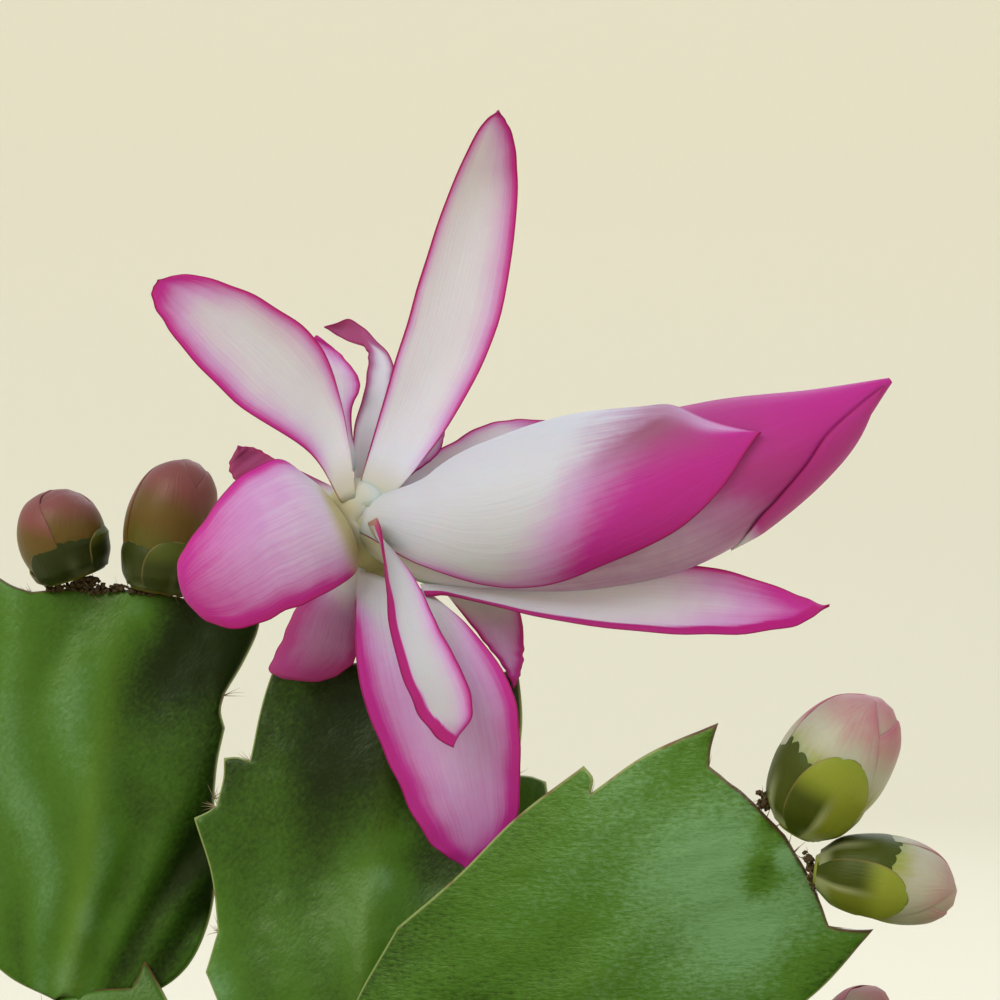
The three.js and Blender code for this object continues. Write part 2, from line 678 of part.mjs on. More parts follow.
// The upright stem on the left, whose last segment ends in two buds
function leftStem() {
  return {
    root: [-19, 7],
    segments: [
      {
        base: vector([-19, 7, FIRST_BASE]), tip: vector([-22, 9, 143]), face: vector([0.25, -1, 0]),
        halfWidth: 11, thick: OLD_THICKNESS, left: PLAIN, right: PLAIN,
      },
      {
        base: vector([-21.8, 9, 140]), tip: vector([-36.9, 18, 183]), face: vector([-0.1, -1, 0.2]),
        halfWidth: 13,
      },
      {
        base: vector([-36, 18, 181.5]), tip: vector([-30.2, 20, 225.4]), face: vector([0.05, -1, 0.05]),
        halfWidth: 13.7, left: ROUND_LEFT, right: ROUND_RIGHT, bow: 1.5, cup: -1,
      },
    ],
  };
}

// The shorter upright stem on the right
function rightStem() {
  return {
    root: [15, 8],
    segments: [
      {
        base: vector([15, 8, FIRST_BASE]), tip: vector([23, 11, 133]), face: vector([-0.5, -1, 0.1]),
        halfWidth: 10.5, thick: OLD_THICKNESS, left: PLAIN, right: PLAIN,
      },
      {
        base: vector([22.5, 11, 130.5]), tip: vector([45, 21, 170.5]), face: vector([0.1, -1, 0.3]),
        halfWidth: 12.5,
      },
    ],
  };
}

function stemSolid(stem) {
  const blades = stem.segments.map((segment) => segmentSolid(segment));
  return joined([trunk(stem.root, TRUNK_RADIUS, 0), ...blades]);
}

// A bud about the axis from its seat to its tip, with sepals wrapped round its lower half
function budSolid({ axis, radius, turn, shares = SLIM_FOOT }) {
  const reach = axis[2].clone().sub(axis[0]).normalize();
  const up = Math.abs(reach.y) > 0.9 ? vector([0, 0, 1]) : vector([0, 1, 0]);
  const line = spindle(axis, [1, 1, 1], up);
  const shape = (share) => {
    const place = line(share);
    place.radius = radius * smooth(BUD_STATIONS, shares, share);
    return place;
  };
  const solids = [spindleSolid(shape, BUD_STATIONS, BUD_SIDES)];
  for (const { from, to, middle, spread } of BUD_SEPALS) {
    const grid = [0, 0.5, 1].map((step) => {
      const place = shape(from + (to - from) * step);
      const half = radians(spread) * Math.sqrt(1.05 - step * step);
      return [-1, -0.33, 0.33, 1].map((across) => {
        const angle = radians(middle + turn) + half * across;
        return onSpindle(place, angle, (SEPAL_LIFT - WRAP_DEPTH) / 2);
      });
    });
    solids.push(blade(grid, SEPAL_LIFT + WRAP_DEPTH));
  }
  return joined(solids);
}

// One spreading tepal of the bloom, between its two margins
function tepalSolid({ left, right, belly, small = false }) {
  const [first, second] = [left, right].map((margin) => {
    const points = margin.map((p) => vector(p).add(BLOOM));
    return new THREE.CatmullRomCurve3(points, false, 'centripetal');
  });
  const grid = [];
  const steps = small ? TEPAL_STEPS - 2 : TEPAL_STEPS;
  for (let i = 0; i <= steps; i += 1) {
    const share = (TEPAL_END * i) / steps;
    const [start, end] = [first.getPoint(share), second.getPoint(share)];
    const along = first.getTangent(share).add(second.getTangent(share));
    const side = end.clone().sub(start);
    const breadth = side.length();
    side.normalize();
    const face = side.clone().cross(along).normalize();
    const row = (small ? [-1, 0, 1] : ACROSS).map((across) => {
      const point = start.clone().lerp(end, 0.5 + 0.5 * across);
      point.addScaledVector(face, belly * breadth * (1 - across * across));
      const out = face.clone().addScaledVector(side, 4 * belly * across).normalize();
      return { point, out };
    });
    grid.push(row);
  }
  return blade(grid, TEPAL_THICKNESS);
}

// One tepal wrapped round the closed heart
function wrapSolid(shape, { from, to, left, right, lift }) {
  const grid = [];
  for (let i = 0; i <= WRAP_STEPS; i += 1) {
    const step = i / WRAP_STEPS;
    const place = shape(from + (to - from) * step);
    const ends = [left, right].map((angles) => radians(smooth([0, 0.5, 1], angles, step)));
    const row = ACROSS.map((across) => {
      const angle = ends[0] + (ends[1] - ends[0]) * (0.5 + 0.5 * across);
      return onSpindle(place, angle, (lift - WRAP_DEPTH) / 2);
    });
    grid.push(row);
  }
  return blade(grid, lift + WRAP_DEPTH);
}

function bloomSolid() {
  const up = vector([0, 0, 1]);
  const inPlant = (p) => vector(p).add(BLOOM);
  const heart = spindle(HEART_AXIS.map(inPlant), HEART_RADII, up);
  const shares = HEART_RADII.map((_, i) => i / (HEART_RADII.length - 1));
  const tube = spindle(TUBE_PATH.map(inPlant), TUBE_RADII, vector([0, 1, 0]));
  const tubeShares = TUBE_RADII.map((_, i) => i / (TUBE_RADII.length - 1));
  return joined([
    spindleSolid(heart, shares, HEART_SIDES),
    spindleSolid(tube, tubeShares, TUBE_SIDES),
    ...WRAPS.map((wrap) => wrapSolid(heart, wrap)),
    ...TEPALS.map((tepal) => tepalSolid(tepal)),
  ]);
}

function ovarySolid() {
  const path = OVARY_PATH.map((p) => vector(p).add(BLOOM));
  const shape = spindle(path, OVARY_RADII, vector([0, 1, 0]));
  const shares = OVARY_RADII.map((_, i) => i / (OVARY_RADII.length - 1));
  return spindleSolid(shape, shares, TUBE_SIDES);
}

function moundBuds(stems) {
  const ends = stems.flatMap((stem) => stem.ends);
  const budded = ends.filter(({ seed }) => draw(seed + 9) < MOUND_BUD_SHARE);
  return budded.map(({ tip, heading, pitch, seed }) => {
    const seat = tip.clone().addScaledVector(direction(heading, pitch), 0.25 * GAP);
    const length = MOUND_BUD_LENGTH * (0.8 + 0.4 * draw(seed + 10));
    const radius = MOUND_BUD_RADIUS * (0.85 + 0.3 * draw(seed + 11));
    const reach = direction(heading, pitch + MOUND_BUD_RISE).multiplyScalar(length);
    const axis = [0, 0.5, 1].map((share) => seat.clone().addScaledVector(reach, share));
    return { axis, radius, turn: 360 * draw(seed) };
  });
}

function plantedPot() {
  const group = new THREE.Group();
  const uprights = { stem_bloom: bloomStem(), stem_left: leftStem(), stem_right: rightStem() };
  const mound = MOUND_STEMS.map(moundStem);
  const roots = [...Object.values(uprights), ...mound].map((stem) => stem.root);
  group.add(meshOf('pot', potSolid(), clayMaterial()));
  group.add(meshOf('soil', soilSolid(roots), soilMaterial()));
  for (const [name, stem] of Object.entries(uprights)) {
    group.add(meshOf(name, stemSolid(stem), segmentMaterial()));
  }
  mound.forEach((stem, i) => {
    group.add(meshOf(`stem_mound_${i + 1}`, stemSolid(stem), segmentMaterial()));
  });
  group.add(meshOf('bloom', bloomSolid(), bloomMaterial()));
  group.add(meshOf('ovary', ovarySolid(), ovaryMaterial()));
  for (const [name, bud] of Object.entries(BUDS)) {
    const axis = bud.axis.map((point) => vector(point));
    group.add(meshOf(name, budSolid({ ...bud, axis }), budMaterial()));
  }
  moundBuds(mound).forEach((bud, i) => {
    group.add(meshOf(`bud_mound_${i + 1}`, budSolid(bud), budMaterial()));
  });
  return group;
}

export default plantedPot();
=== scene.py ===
"""A potted christmas cactus, dressed for its close-up: ribbed and toothed stem segments, one white
and magenta bloom, small buds, a clay pot and its soil. Tables are in millimetres, +Z up."""

import math
from dataclasses import dataclass

import bpy
import numpy as np
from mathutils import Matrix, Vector
from mathutils.geometry import delaunay_2d_cdt


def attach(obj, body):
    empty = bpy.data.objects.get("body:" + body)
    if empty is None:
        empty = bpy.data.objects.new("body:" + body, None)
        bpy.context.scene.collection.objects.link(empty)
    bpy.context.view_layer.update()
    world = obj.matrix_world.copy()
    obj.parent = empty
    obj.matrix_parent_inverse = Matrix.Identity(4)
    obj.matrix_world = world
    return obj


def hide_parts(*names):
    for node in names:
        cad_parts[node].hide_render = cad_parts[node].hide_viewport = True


MM = 0.001
BODY = "root"

# The camera, level, looks along +Y at the bloom
CAMERA_PLACE = (10, -278, 235)
CAMERA_LENS = 100
CAMERA_SENSOR = 36
CAMERA_CLIP = 0.01

# Studio, in metres and watts
STAGE_RADIUS = 2.4
STAGE_COVE = 0.6
STAGE_HEIGHT = 1.1
STAGE_SIDES, COVE_ROWS = 96, 20
SKY_STRENGTH = 0.78
SKY_COLOUR = (0.9, 1.0, 1.15)
COOL = (0.96, 1.0, 1.08)
COOLER = (0.92, 1.0, 1.12)
PLANT = (0, 0, 0.2)
LOW_WALL = (0, STAGE_RADIUS, 0.35)
SOFTBOXES = {
    "key": dict(place=(-0.8, -1.0, 1.2), aim=PLANT, size=0.9, power=13, colour=COOL),
    "fill": dict(place=(1.2, -0.9, 0.7), aim=PLANT, size=1.2, power=2.8, colour=COOLER),
    "back": dict(place=(0.4, 1.3, 1.3), aim=PLANT, size=1.0, power=3.8, colour=COOL),
    "wall": dict(place=(0, 0.7, 1.4), aim=LOW_WALL, size=1.0, power=3.6, colour=COOL),
}

# Pot, soil and trunks, as the frame has them
POT_HEIGHT = 105
POT_BASE_RADIUS = 45
POT_BODY_RADIUS = 58
POT_RIM_RADIUS = 66
RIM_HEIGHT = 23
RIM_STEP = 5
WALL = 5.5
FLOOR = 7
CHAMFER = 1.5
POT_SIDES = 160
POT_ROUNDING = 1.4
POT_SPACING = 4
HUB = 0.01
DRAIN_SIDES = 48
DRAIN_COUNT = 3
DRAIN_RADIUS = 4.5
DRAIN_CIRCLE = 25
SOIL_TOP = 88
SOIL_RISE = 4
SOIL_ROWS, SOIL_SIDES = 46, 140
CRUMBS = 1500
PERLITE_SHARE = 0.07
SOIL_MOUND = [[0, 0], [0.07, 0.1], [0.28, 0.35], [0.55, 0.75], [1, 1]]
GAP = 0.3
TRUNK_RADIUS = 3.6
TRUNK_FOOT = 66
TRUNK_TOP = 100
FIRST_BASE = 92
TRUNK_PROFILE = [(0.9, TRUNK_FOOT), (0.95, 80), (1, FIRST_BASE), (0.85, 96), (0.62, TRUNK_TOP)]
TRUNK_SIDES = 24

# Stems: how deep a segment's neck sits in the one before it, and how thick it is down its rib
SINK = 2.8
MARGIN_THICKNESS = 0.9
RIB_STATIONS = [0, 0.2, 0.42, 0.62, 0.8, 1]
RIB_THICKNESS = [3.4, 3.0, 2.6, 2.3, 2.0, 1.5]
OLD_THICKNESS = 1.3
OLD_AGE = 0.45
FORK_LEVEL = 2
FORK_TILT = 7
PITCH_SPREAD = 8
TURN_SPREAD = 9
ARCH_BOW = 2.3
CUP_SPREAD = 3
LONG_STEM = dict(
    lengths=[36, 40, 40, 36], half_widths=[10, 12.5, 13.5, 13], pitches=[70, 36, -6, -44],
    root_circle=31, fork=20,
)
SHORT_STEM = dict(
    lengths=[36, 38, 38], half_widths=[10.5, 13, 13.5], pitches=[80, 52, 14],
    root_circle=24, fork=27,
)
MOUND_STEMS = [
    dict(heading=10, form=LONG_STEM, lift=2, roll=5),
    dict(heading=46, form=SHORT_STEM, lift=-6, roll=-4),
    dict(heading=82, form=LONG_STEM, lift=-2, roll=3),
    dict(heading=118, form=SHORT_STEM, lift=-5, roll=-5),
    dict(heading=154, form=LONG_STEM, lift=0, roll=4),
    dict(heading=198, form=SHORT_STEM, lift=4, roll=-3),
    dict(heading=226, form=LONG_STEM, lift=1, roll=4),
    dict(heading=262, form=SHORT_STEM, lift=3, roll=-4),
    dict(heading=298, form=LONG_STEM, lift=-1, roll=4),
    dict(heading=334, form=SHORT_STEM, lift=4, roll=-4),
]


def margin(first, *stretches):
    """A margin's stretches, each running from where the one before it ends to a sharp corner."""
    starts = [first, *(stretch[-1] for stretch in stretches)]
    return tuple((start, *stretch) for start, stretch in zip(starts, stretches))


# Margins of a segment from its neck to its apex, as (share of half width, share of length). An
# areole sits where a stretch starts after a step back.
TOOTHED_END = [
    [(0.91, 0.772), (0.85, 0.755)], [(0.84, 0.87), (0.74, 1)], [(0.65, 0.965), (0.57, 0.945)],
    [(0.3, 0.968), (0, 0.98)],
]
PLAIN = margin((0.14, 0), [(0.66, 0.17), (0.96, 0.42), (1, 0.66), (0.88, 0.86), (0.5, 0.97), (0, 0.98)])
TOOTHED = margin(
    (0.14, 0), [(0.42, 0.08), (0.67, 0.19), (0.89, 0.34)], [(0.9, 0.48), (0.97, 0.65), (1, 0.77)],
    *TOOTHED_END,
)
BROAD = margin(
    (0.14, 0), [(0.42, 0.08), (0.67, 0.19), (0.88, 0.33)], [(0.92, 0.48), (0.99, 0.62), (1, 0.77)],
    *TOOTHED_END,
)
BROAD_LEFT = margin(
    (0.14, 0), [(0.45, 0.09), (0.74, 0.19), (0.94, 0.3)], [(0.9, 0.385)], [(0.98, 0.5), (1.12, 0.61)],
    [(1.05, 0.625), (1, 0.64)], [(0.98, 0.7), (0.99, 0.74)], [(0.91, 0.745), (0.83, 0.74)],
    [(0.79, 0.87), (0.7, 1)], [(0.6, 0.965), (0.5, 0.95)], [(0.25, 0.965), (0, 0.98)],
)
BROAD_RIGHT = margin(
    (0.14, 0), [(0.45, 0.09), (0.74, 0.19), (0.94, 0.33), (0.89, 0.4)], [(0.98, 0.5), (1.05, 0.62)],
    [(1.0, 0.7), (0.96, 0.757)], [(0.87, 0.765), (0.78, 0.765)], [(0.78, 0.88), (0.72, 0.99)],
    [(0.6, 0.965), (0.5, 0.95)], [(0.25, 0.965), (0, 0.98)],
)
ROUND_LEFT = margin(
    (0.1, 0), [(0.5, 0.045), (0.82, 0.13), (0.98, 0.26), (0.99, 0.4), (0.92, 0.52)],
    [(0.98, 0.61), (1.05, 0.71)], [(0.98, 0.72), (0.93, 0.73)], [(0.97, 0.86), (1.06, 1)],
    [(0.88, 0.975), (0.72, 0.965)], [(0.35, 0.99), (0, 1)],
)
ROUND_RIGHT = margin(
    (0.1, 0), [(0.6, 0.04), (0.86, 0.11), (0.99, 0.22), (1, 0.37), (0.91, 0.53)],
    [(0.9, 0.62), (0.92, 0.7)], [(0.87, 0.74), (0.88, 0.78)],
    [(1.0, 0.87), (1.07, 0.95), (1.05, 1.02)], [(0.92, 1), (0.78, 0.985)], [(0.35, 1), (0, 1)],
)

# Painted shade, painted sheen and painted glints on the segments by the bloom, with some of the
# green's own unevenness: (share of half width, share of length, reach in millimetres, amount)
BACK_SHADE_AND_SHEEN = [
    (-0.4, 0.95, 18, -0.45), (0.5, 0.9, 15, -0.4), (-0.74, 0.33, 8, 0.2), (-0.88, 0.26, 3, 0.8),
    (0.06, 0.53, 2.2, 0.8), (0.12, 0.61, 1.5, 0.5), (0.86, 0.72, 5, 0.5), (0.05, 0.4, 9, 0.35),
]
FRONT_SHADE_AND_SHEEN = [
    (-0.1, 0.84, 9, 0.75), (0.4, 0.85, 8, 0.6), (-0.6, 0.3, 10, -0.35), (-0.57, 0.78, 6, 0.15),
    (0.07, 0.93, 2, -1.1), (0.14, 0.89, 1.7, -0.8), (-0.1, 0.975, 1.5, -0.9), (0.1, 0.955, 1, 1.4),
    (0.8, 0.88, 4.5, -0.5),
]
LEFT_SHADE_AND_SHEEN = [
    (0.75, 0.94, 9, -1), (1, 0.84, 6, -0.7), (0.95, 0.62, 8, -0.8), (0.92, 0.32, 8, -0.8),
    (0.6, 0.1, 6, -0.4), (-0.55, 0.5, 9, 0.35), (0.12, 0.96, 1.6, 0.6), (0, 0.06, 3, 0.5),
    (0.1, 0.2, 2.4, 0.45), (0.2, 0.4, 2.8, 0.3),
]

# Unevenness of the blades: heights and wavelengths in millimetres, and how the pleats fan out
SWELL, SWELL_LENGTH = 0.45, 22
GRAIN, GRAIN_LENGTH = 0.05, 3.2
WRINKLE_LENGTH = 2.4
PLEATS, PLEAT_BEND, PLEAT_ORIGIN = 26, 2, 0.22
KEEL_WIDTH = 2.2
RIB_LINE = 1.3
WOODY_NECK = 3

# How finely segments are drawn: spacing of their points close to the camera and further off
FINE = 0.75
COARSE = 1.7
RIM_ROWS = [0.1, 0.3, 0.65]
RIM_ROUND = 0.5

# The bloom: the middle of its throat in the plant, and every measure below from there
BLOOM = (-5, 2, 234)
THROAT = (1.5, -1, -1)
TEPAL_THICKNESS = 0.5
TEPAL_LENGTH = 30
TEPAL_REACH = 0.996
TEPAL_ROWS, TEPAL_COLUMNS = 60, 33
WRAP_ROWS, WRAP_COLUMNS = 90, 41
RAGGED = 0.08
# What a closed form inside the sheets has for its distance from a margin
INNER_EDGE = 3.0

# Spreading tepals, each between its left and right margins as seen with the tip up and the inner
# face forward, which meet at its end. The belly says how far the middle stands out, as a share of
# the breadth. Colouring:
# shares of the length where the tip's magenta starts and is full, the soft blush along the left
# and right margins and the sharp folded band on them in millimetres, the wash of pink all over,
# the painted shade that darkens that pink and the one that greys the white, how sallow the root
# is and from which to which distance from the middle of the throat that fades.
TEPALS = [
    dict(
        left=[(0.4, -1.2, 0.8), (2.6, 3.6, 9.4), (5.8, 4, 20.2), (9.4, 2, 31.2), (13.2, -2, 38.6)],
        right=[(2.8, -1.2, -0.2), (9.6, 4, 8.4), (14.8, 4.4, 19), (16.8, 2, 33.2), (16, -2, 38.2)],
        end=(14.8, -3, 39.8), belly=-0.1, tip=(0.72, 1.2), margins=(0.5, 1.4), bands=(0.12, 0), wash=0.02,
    ),
    dict(
        left=[
            (-1, -1.3, 0.8), (-3.8, -2, 5.4), (-11.4, -5, 10.8), (-17.6, -7, 17.8), (-19.2, -7.6, 21.2),
        ],
        right=[
            (0.6, -1.3, 1.2), (-1, -0.4, 11), (-3.2, -2.4, 16.8), (-9.6, -5.6, 21.4), (-15.8, -7, 23.2),
        ],
        end=(-18.6, -7.6, 22.6), belly=-0.08, tip=(0.52, 0.98), margins=(1.6, 1), bands=(0.15, 0),
        wash=0.06,
    ),
    dict(
        left=[(-1, 3, 4), (-3.2, 5, 9.2), (-5, 6.4, 13.8), (-5.4, 7, 17.4)],
        right=[(0.4, 3, 4), (-0.2, 5, 10.2), (0.6, 6, 13), (-1.2, 6.8, 15.8)],
        end=(-3.8, 7, 18), belly=-0.05, tip=(0.5, 1.1), margins=(0.3, 0.8), wash=0.1,
    ),
    dict(
        left=[
            (0.2, 2.2, 2.2), (0, 5, 8.2), (0.8, 8, 11.8), (1.2, 11, 15.6), (0.8, 13, 17),
            (-1.4, 15.6, 18),
        ],
        right=[
            (2.2, 2.2, 2), (2.8, 6, 8.8), (3.6, 9, 12.6), (3.8, 11, 15.4), (1.6, 13.6, 18.2),
            (-1, 15.6, 20.2),
        ],
        end=(-3.8, 16, 19.4), belly=-0.1, tip=(0.58, 0.74), margins=(0.4, 0.2), wash=0.05, dusky=0.65,
    ),
    dict(
        left=[
            (-0.4, 1, -4), (0.8, -4, -6), (-1.8, -8, -8), (-5.8, -11, -9.8), (-10, -12, -11.4),
            (-13.6, -11, -10.6),
        ],
        right=[
            (-2.2, 1, 0.2), (-4.5, -3, 3.4), (-6.8, -7, 5), (-10.6, -10, 3), (-13.6, -11.6, -1),
            (-16.2, -11, -5.2),
        ],
        end=(-15.4, -10, -8.6), belly=0.12, tip=(0.32, 1.3), margins=(1.8, 1), wash=0.3,
        sallow=(1, 5, 7.6),
    ),
    dict(
        left=[(0, 2.5, -0.6), (-7.8, 7, 2), (-12, 9, 2.6), (-13.2, 9, 4.4)],
        right=[(0, 2.5, 1.4), (-5.6, 7, 4), (-8.6, 8.4, 5.4), (-10.4, 8.4, 6.4)],
        end=(-12.2, 8, 6.6), belly=0.05, tip=(0.3, 0.9), margins=(1, 1), wash=0.5, dusky=0.6,
    ),
    dict(
        left=[(1.4, 1, -6), (1, 0.6, -9.6), (1, 0, -12.6), (0.2, -0.4, -15.4), (-2.8, -0.5, -17.2)],
        right=[(-1, 1.5, -5), (-3.4, 1, -8.2), (-5.6, 0.5, -10), (-7, 0, -13.2), (-8.2, -0.5, -16.2)],
        end=(-6.8, -0.5, -17), belly=0.1, tip=(0.5, 1.2), margins=(0.6, 1.1), wash=0.5, dusky=0.35,
    ),
    dict(
        left=[(7.6, -2, -8), (12, -5, -11.6), (16.2, -7.6, -17.6), (17, -8, -25), (16.2, -7.6, -31.2)],
        right=[(0.8, -1, -6), (0.6, -5, -11), (1.4, -8, -17.6), (4.4, -9, -25.2), (8.2, -8, -32.6)],
        end=(11.6, -7, -35.2), belly=-0.06, tip=(0.5, 1.5), margins=(1.3, 1.8), wash=0.36, shade=0.25,
    ),
    dict(
        left=[
            (2.8, -1, -3), (5.2, -6, -4.8), (7.4, -8.4, -8), (9.2, -11, -11.6), (11.4, -12.4, -15.6),
            (12.4, -13, -19.4),
        ],
        right=[
            (1.8, -2, -1.2), (2.6, -7, -1.6), (3.4, -9, -5), (4.2, -11, -11), (6, -13, -17.2),
            (8.2, -13, -21),
        ],
        end=(10.4, -12, -22.6), belly=-0.12, tip=(0.75, 1.2), margins=(0.8, 0.5), bands=(0, 1), wash=0.03,
        shade=0.35,
    ),
    dict(
        left=[(7, -2, -7.4), (15, -3, -7.4), (26, -3, -5.8), (35.4, -3, -5.6), (43.6, -4, -8)],
        right=[
            (7.6, -3, -8.6), (12, -4.4, -9.4), (20.2, -5.6, -11.2), (33.8, -6, -12.6), (44, -6, -11.8),
        ],
        end=(47.6, -5, -9.8), belly=-0.1, tip=(0.5, 1), margins=(0.8, 0.4), bands=(0, 1.3), wash=0.06,
    ),
    dict(
        left=[(15, 2, -8), (17, 1.6, -10.4), (17.4, 0.8, -13.8), (17.2, 0.2, -16)],
        right=[(9, 0, -7.8), (11.6, 0, -11), (13.6, 0, -13.6), (15.2, -0.2, -15.6)],
        end=(16.4, -0.4, -18), belly=0.05, tip=(0.6, 1.5), margins=(0.7, 0.4), wash=0.36, dusky=0.05,
    ),
    dict(
        left=[(3, 2.4, 1.4), (6, 5.6, 4.6), (9.8, 7, 6.8), (13.4, 8, 8.8), (18.2, 8.4, 9.4)],
        right=[(4.2, 2.4, 0.2), (8.8, 6, 2.8), (14, 7.6, 5.2), (18.2, 8, 6.2), (21.8, 8.4, 6.8)],
        end=(25.4, 8, 8.2), belly=-0.08, tip=(0.6, 1.1), margins=(0.4, 0.3), wash=0.06,
    ),
    dict(
        left=[(2, 3, 2.8), (5.2, 4, 5.4), (7.6, 5, 7.2)],
        right=[(3.2, 3, 1.8), (6, 4, 3.6), (8.8, 5.6, 6)],
        end=(9.4, 6, 8.4), belly=-0.05, tip=(0.7, 1.1), margins=(0.4, 0.4), wash=0.08,
    ),
]

# The closed heart of the bloom: stations along its axis, and the radius at each
HEART_AXIS = [
    (0.5, 1.4, -1.2), (8.3, 0, -2.3), (15, -1, -1.1), (23, -2, 0.4),
    (31.5, -3, 1.9), (39, -3.5, 4.8), (46.3, -4, 8.2), (53.8, -4, 12.9),
]
HEART_RADII = [2.3, 5.4, 7.4, 8.5, 8.1, 6.7, 4.1, 0.3]

# Tepals wrapped round the heart: the stretch of it they cover, and at stations of that stretch the
# angles of their margins, counted from the top towards the front. The slant makes the magenta
# start sooner towards the right margin, and painted shade on the top edge darkens it by the left one.
WRAPS = [
    dict(
        stretch=(0.02, 0.765), stations=[0, 0.17, 0.3, 0.43, 0.58, 0.72, 0.8, 0.89, 1],
        left=[-20, -14, -10, -7, -5, -3, 4, 46, 74], right=[110, 125, 145, 147, 134, 121, 111, 97, 74],
        lift=0.55, tip=(0.44, 0.88), early=-0.08, slant=0.34, halo=0.42, top_shade=1, margins=(0.5, 1.2),
        bands=(0, 0.3), wash=0, shade=0.25,
    ),
    dict(
        stretch=(0.64, 0.985), stations=[0, 0.14, 0.3, 0.5, 0.67, 1],
        left=[181, 149, 138, 123, 103, 90], right=[186, 215, 230, 225, 200, 100],
        lift=0.3, tip=(-0.2, 0.1), margins=(0.5, 0.5), wash=1, dusky=0.1,
    ),
    dict(
        stretch=(0.1, 0.92), stations=[0, 0.25, 0.5, 0.75, 1],
        left=[190, 195, 200, 230, 285], right=[320, 330, 335, 320, 300],
        lift=0.6, tip=(0.5, 1), margins=(0.8, 0.8), wash=0.1,
    ),
]

# The tube that bends from the ovary to the throat, and the ovary below it
TUBE_PATH = [(2.7, 4, -7.2), (2.4, 4, -5.4), (0.9, 2.6, -2.8), (0.8, 1.4, 0.2), (3.5, 0.6, 0.4)]
TUBE_RADII = [2.2, 2.8, 3.4, 3.2, 1.6]
OVARY_PATH = [(4.8, 4, -14.6), (4.4, 4, -12.6), (3.6, 4, -9.7), (2.9, 4, -7.8)]
OVARY_RADII = [1.5, 2.7, 3, 2.2]

# Buds: the thickness of their sheets, the breadth of a keel, and the radius along the length, as a
# share of the largest, for slim and broad feet
BUD_LENGTH = 14
BUD_THICKNESS = 0.45
BUD_KEEL = 0.14
BUD_STATIONS = [0, 0.14, 0.36, 0.6, 0.84, 0.95, 1]
SLIM_FOOT = [0.36, 0.72, 0.93, 1, 0.78, 0.48, 0.2]
BROAD_FOOT = [0.76, 0.88, 0.97, 1, 0.8, 0.5, 0.2]
# Sheets wrapped round a bud: the stretch they cover, the angle of their middle and their half
# width in degrees, how far they stand out, how rosy the tepals are, and how much painted shade
# the scales take and from which share of their half breadth and of their length it gives way
BUD_SCALES = [
    dict(stretch=(0.03, 0.36), middle=20, spread=55, lift=0.4, dim=0.5, paling=(0, 0.6)),
    dict(stretch=(0.03, 0.4), middle=300, spread=55, lift=0.35, dim=0.3, paling=(0, 0.6)),
    dict(stretch=(0.03, 0.58), middle=145, spread=70, lift=0.42, dim=1, paling=(2, 1)),
    dict(stretch=(0.02, 0.68), middle=218, spread=46, lift=0.52, dim=1, paling=(0, 0.42)),
]
BUD_TEPALS = [
    dict(stretch=(0.2, 1), middle=40, spread=95, lift=0.35, rosy=1.3),
    dict(stretch=(0.2, 0.98), middle=160, spread=95, lift=0.22, rosy=0.85),
    dict(stretch=(0.2, 0.97), middle=285, spread=95, lift=0.12, rosy=0.9),
]
# Buds seen close by: the axis of each, from its seat to its tip, how rosy it is, how deep its
# colours, how much painted shade its scales take left and right of their keels, its profile and
# the share of their usual length that the scales have, where these differ
BUDS = {
    "bud_front_upper": dict(
        axis=[(37.6, -18, 203.9), (40.7, -19, 209.7), (45.8, -20, 216.1)],
        radius=4.7, turn=-28, rosy=0.6, deep=0, side_shades=(1, 0.15),
    ),
    "bud_front_lower": dict(
        axis=[(39.4, -18.3, 200.5), (46.1, -19.4, 199.7), (52.2, -20.5, 198.1)],
        radius=3.6, turn=-20, rosy=0.5, deep=0.05, side_shades=(1, 0.4),
    ),
    "bud_left_outer": dict(
        axis=[(-35.4, 20, 226.8), (-36.8, 19.5, 230.9), (-37, 19, 236.1)],
        radius=4.2, turn=45, rosy=0.8, deep=1, side_shades=(1, 1), shares=BROAD_FOOT, clad=0.9,
    ),
    "bud_left_inner": dict(
        axis=[(-26.4, 20, 225.3), (-25.4, 19.5, 232), (-22.9, 19, 239.1)],
        radius=4.3, turn=-15, rosy=0.9, deep=1, side_shades=(0.8, 1), shares=BROAD_FOOT, clad=0.65,
    ),
    "bud_right": dict(
        axis=[(44.9, 21, 170.3), (47.8, 22.5, 176.2), (51.3, 24, 181.8)],
        radius=3.6, turn=0, rosy=0.6, deep=0.5, side_shades=(0.8, 0.8),
    ),
}
# Brown felt at the feet of those buds: the two ends of each pad, how far it reaches to its
# sides and up, and how many lumps and bristles it has
FELTS = [
    dict(ends=[(34.4, -18, 207.1), (35, -18.1, 206.5)], reach=(0.5, 0.5, 0.6), lumps=50, hairs=6),
    dict(ends=[(38.7, -18.3, 202), (39.6, -18.3, 198.6)], reach=(0.3, 0.5, 0.2), lumps=40, hairs=24),
    dict(ends=[(-38.6, 19.6, 225.7), (-23.8, 19.7, 225.2)], reach=(0.3, 0.8, 0.5), lumps=260, hairs=30),
    dict(ends=[(-35.6, 19.2, 226.3), (-33.2, 19.4, 226.4)], reach=(0.2, 1, 0.4), lumps=60, hairs=8),
]
# Bristles: how many in an areole close by and further off, their radii and their lengths
CLOSE_TUFT, FAR_TUFT = (5, 9), (2, 5)
BRISTLE_RADIUS, BRISTLE_LENGTHS = 0.06, (0.9, 2.4)
FELT_HAIR_RADIUS, FELT_HAIR_LENGTHS = 0.05, (1, 2.6)
FELT_LUMPS, FELT_FLATNESS = (0.2, 0.42), 0.8

# Buds further off, on some ends of the mound
MOUND_BUD_LENGTH = 10
MOUND_BUD_RADIUS = 3.5
MOUND_BUD_RISE = 25
MOUND_BUD_SHARE = 0.28


def draw(seed):
    """A repeatable draw from 0 to 1 for a whole number."""
    value = math.sin(seed * 12.9898) * 43758.5453
    return value - math.floor(value)


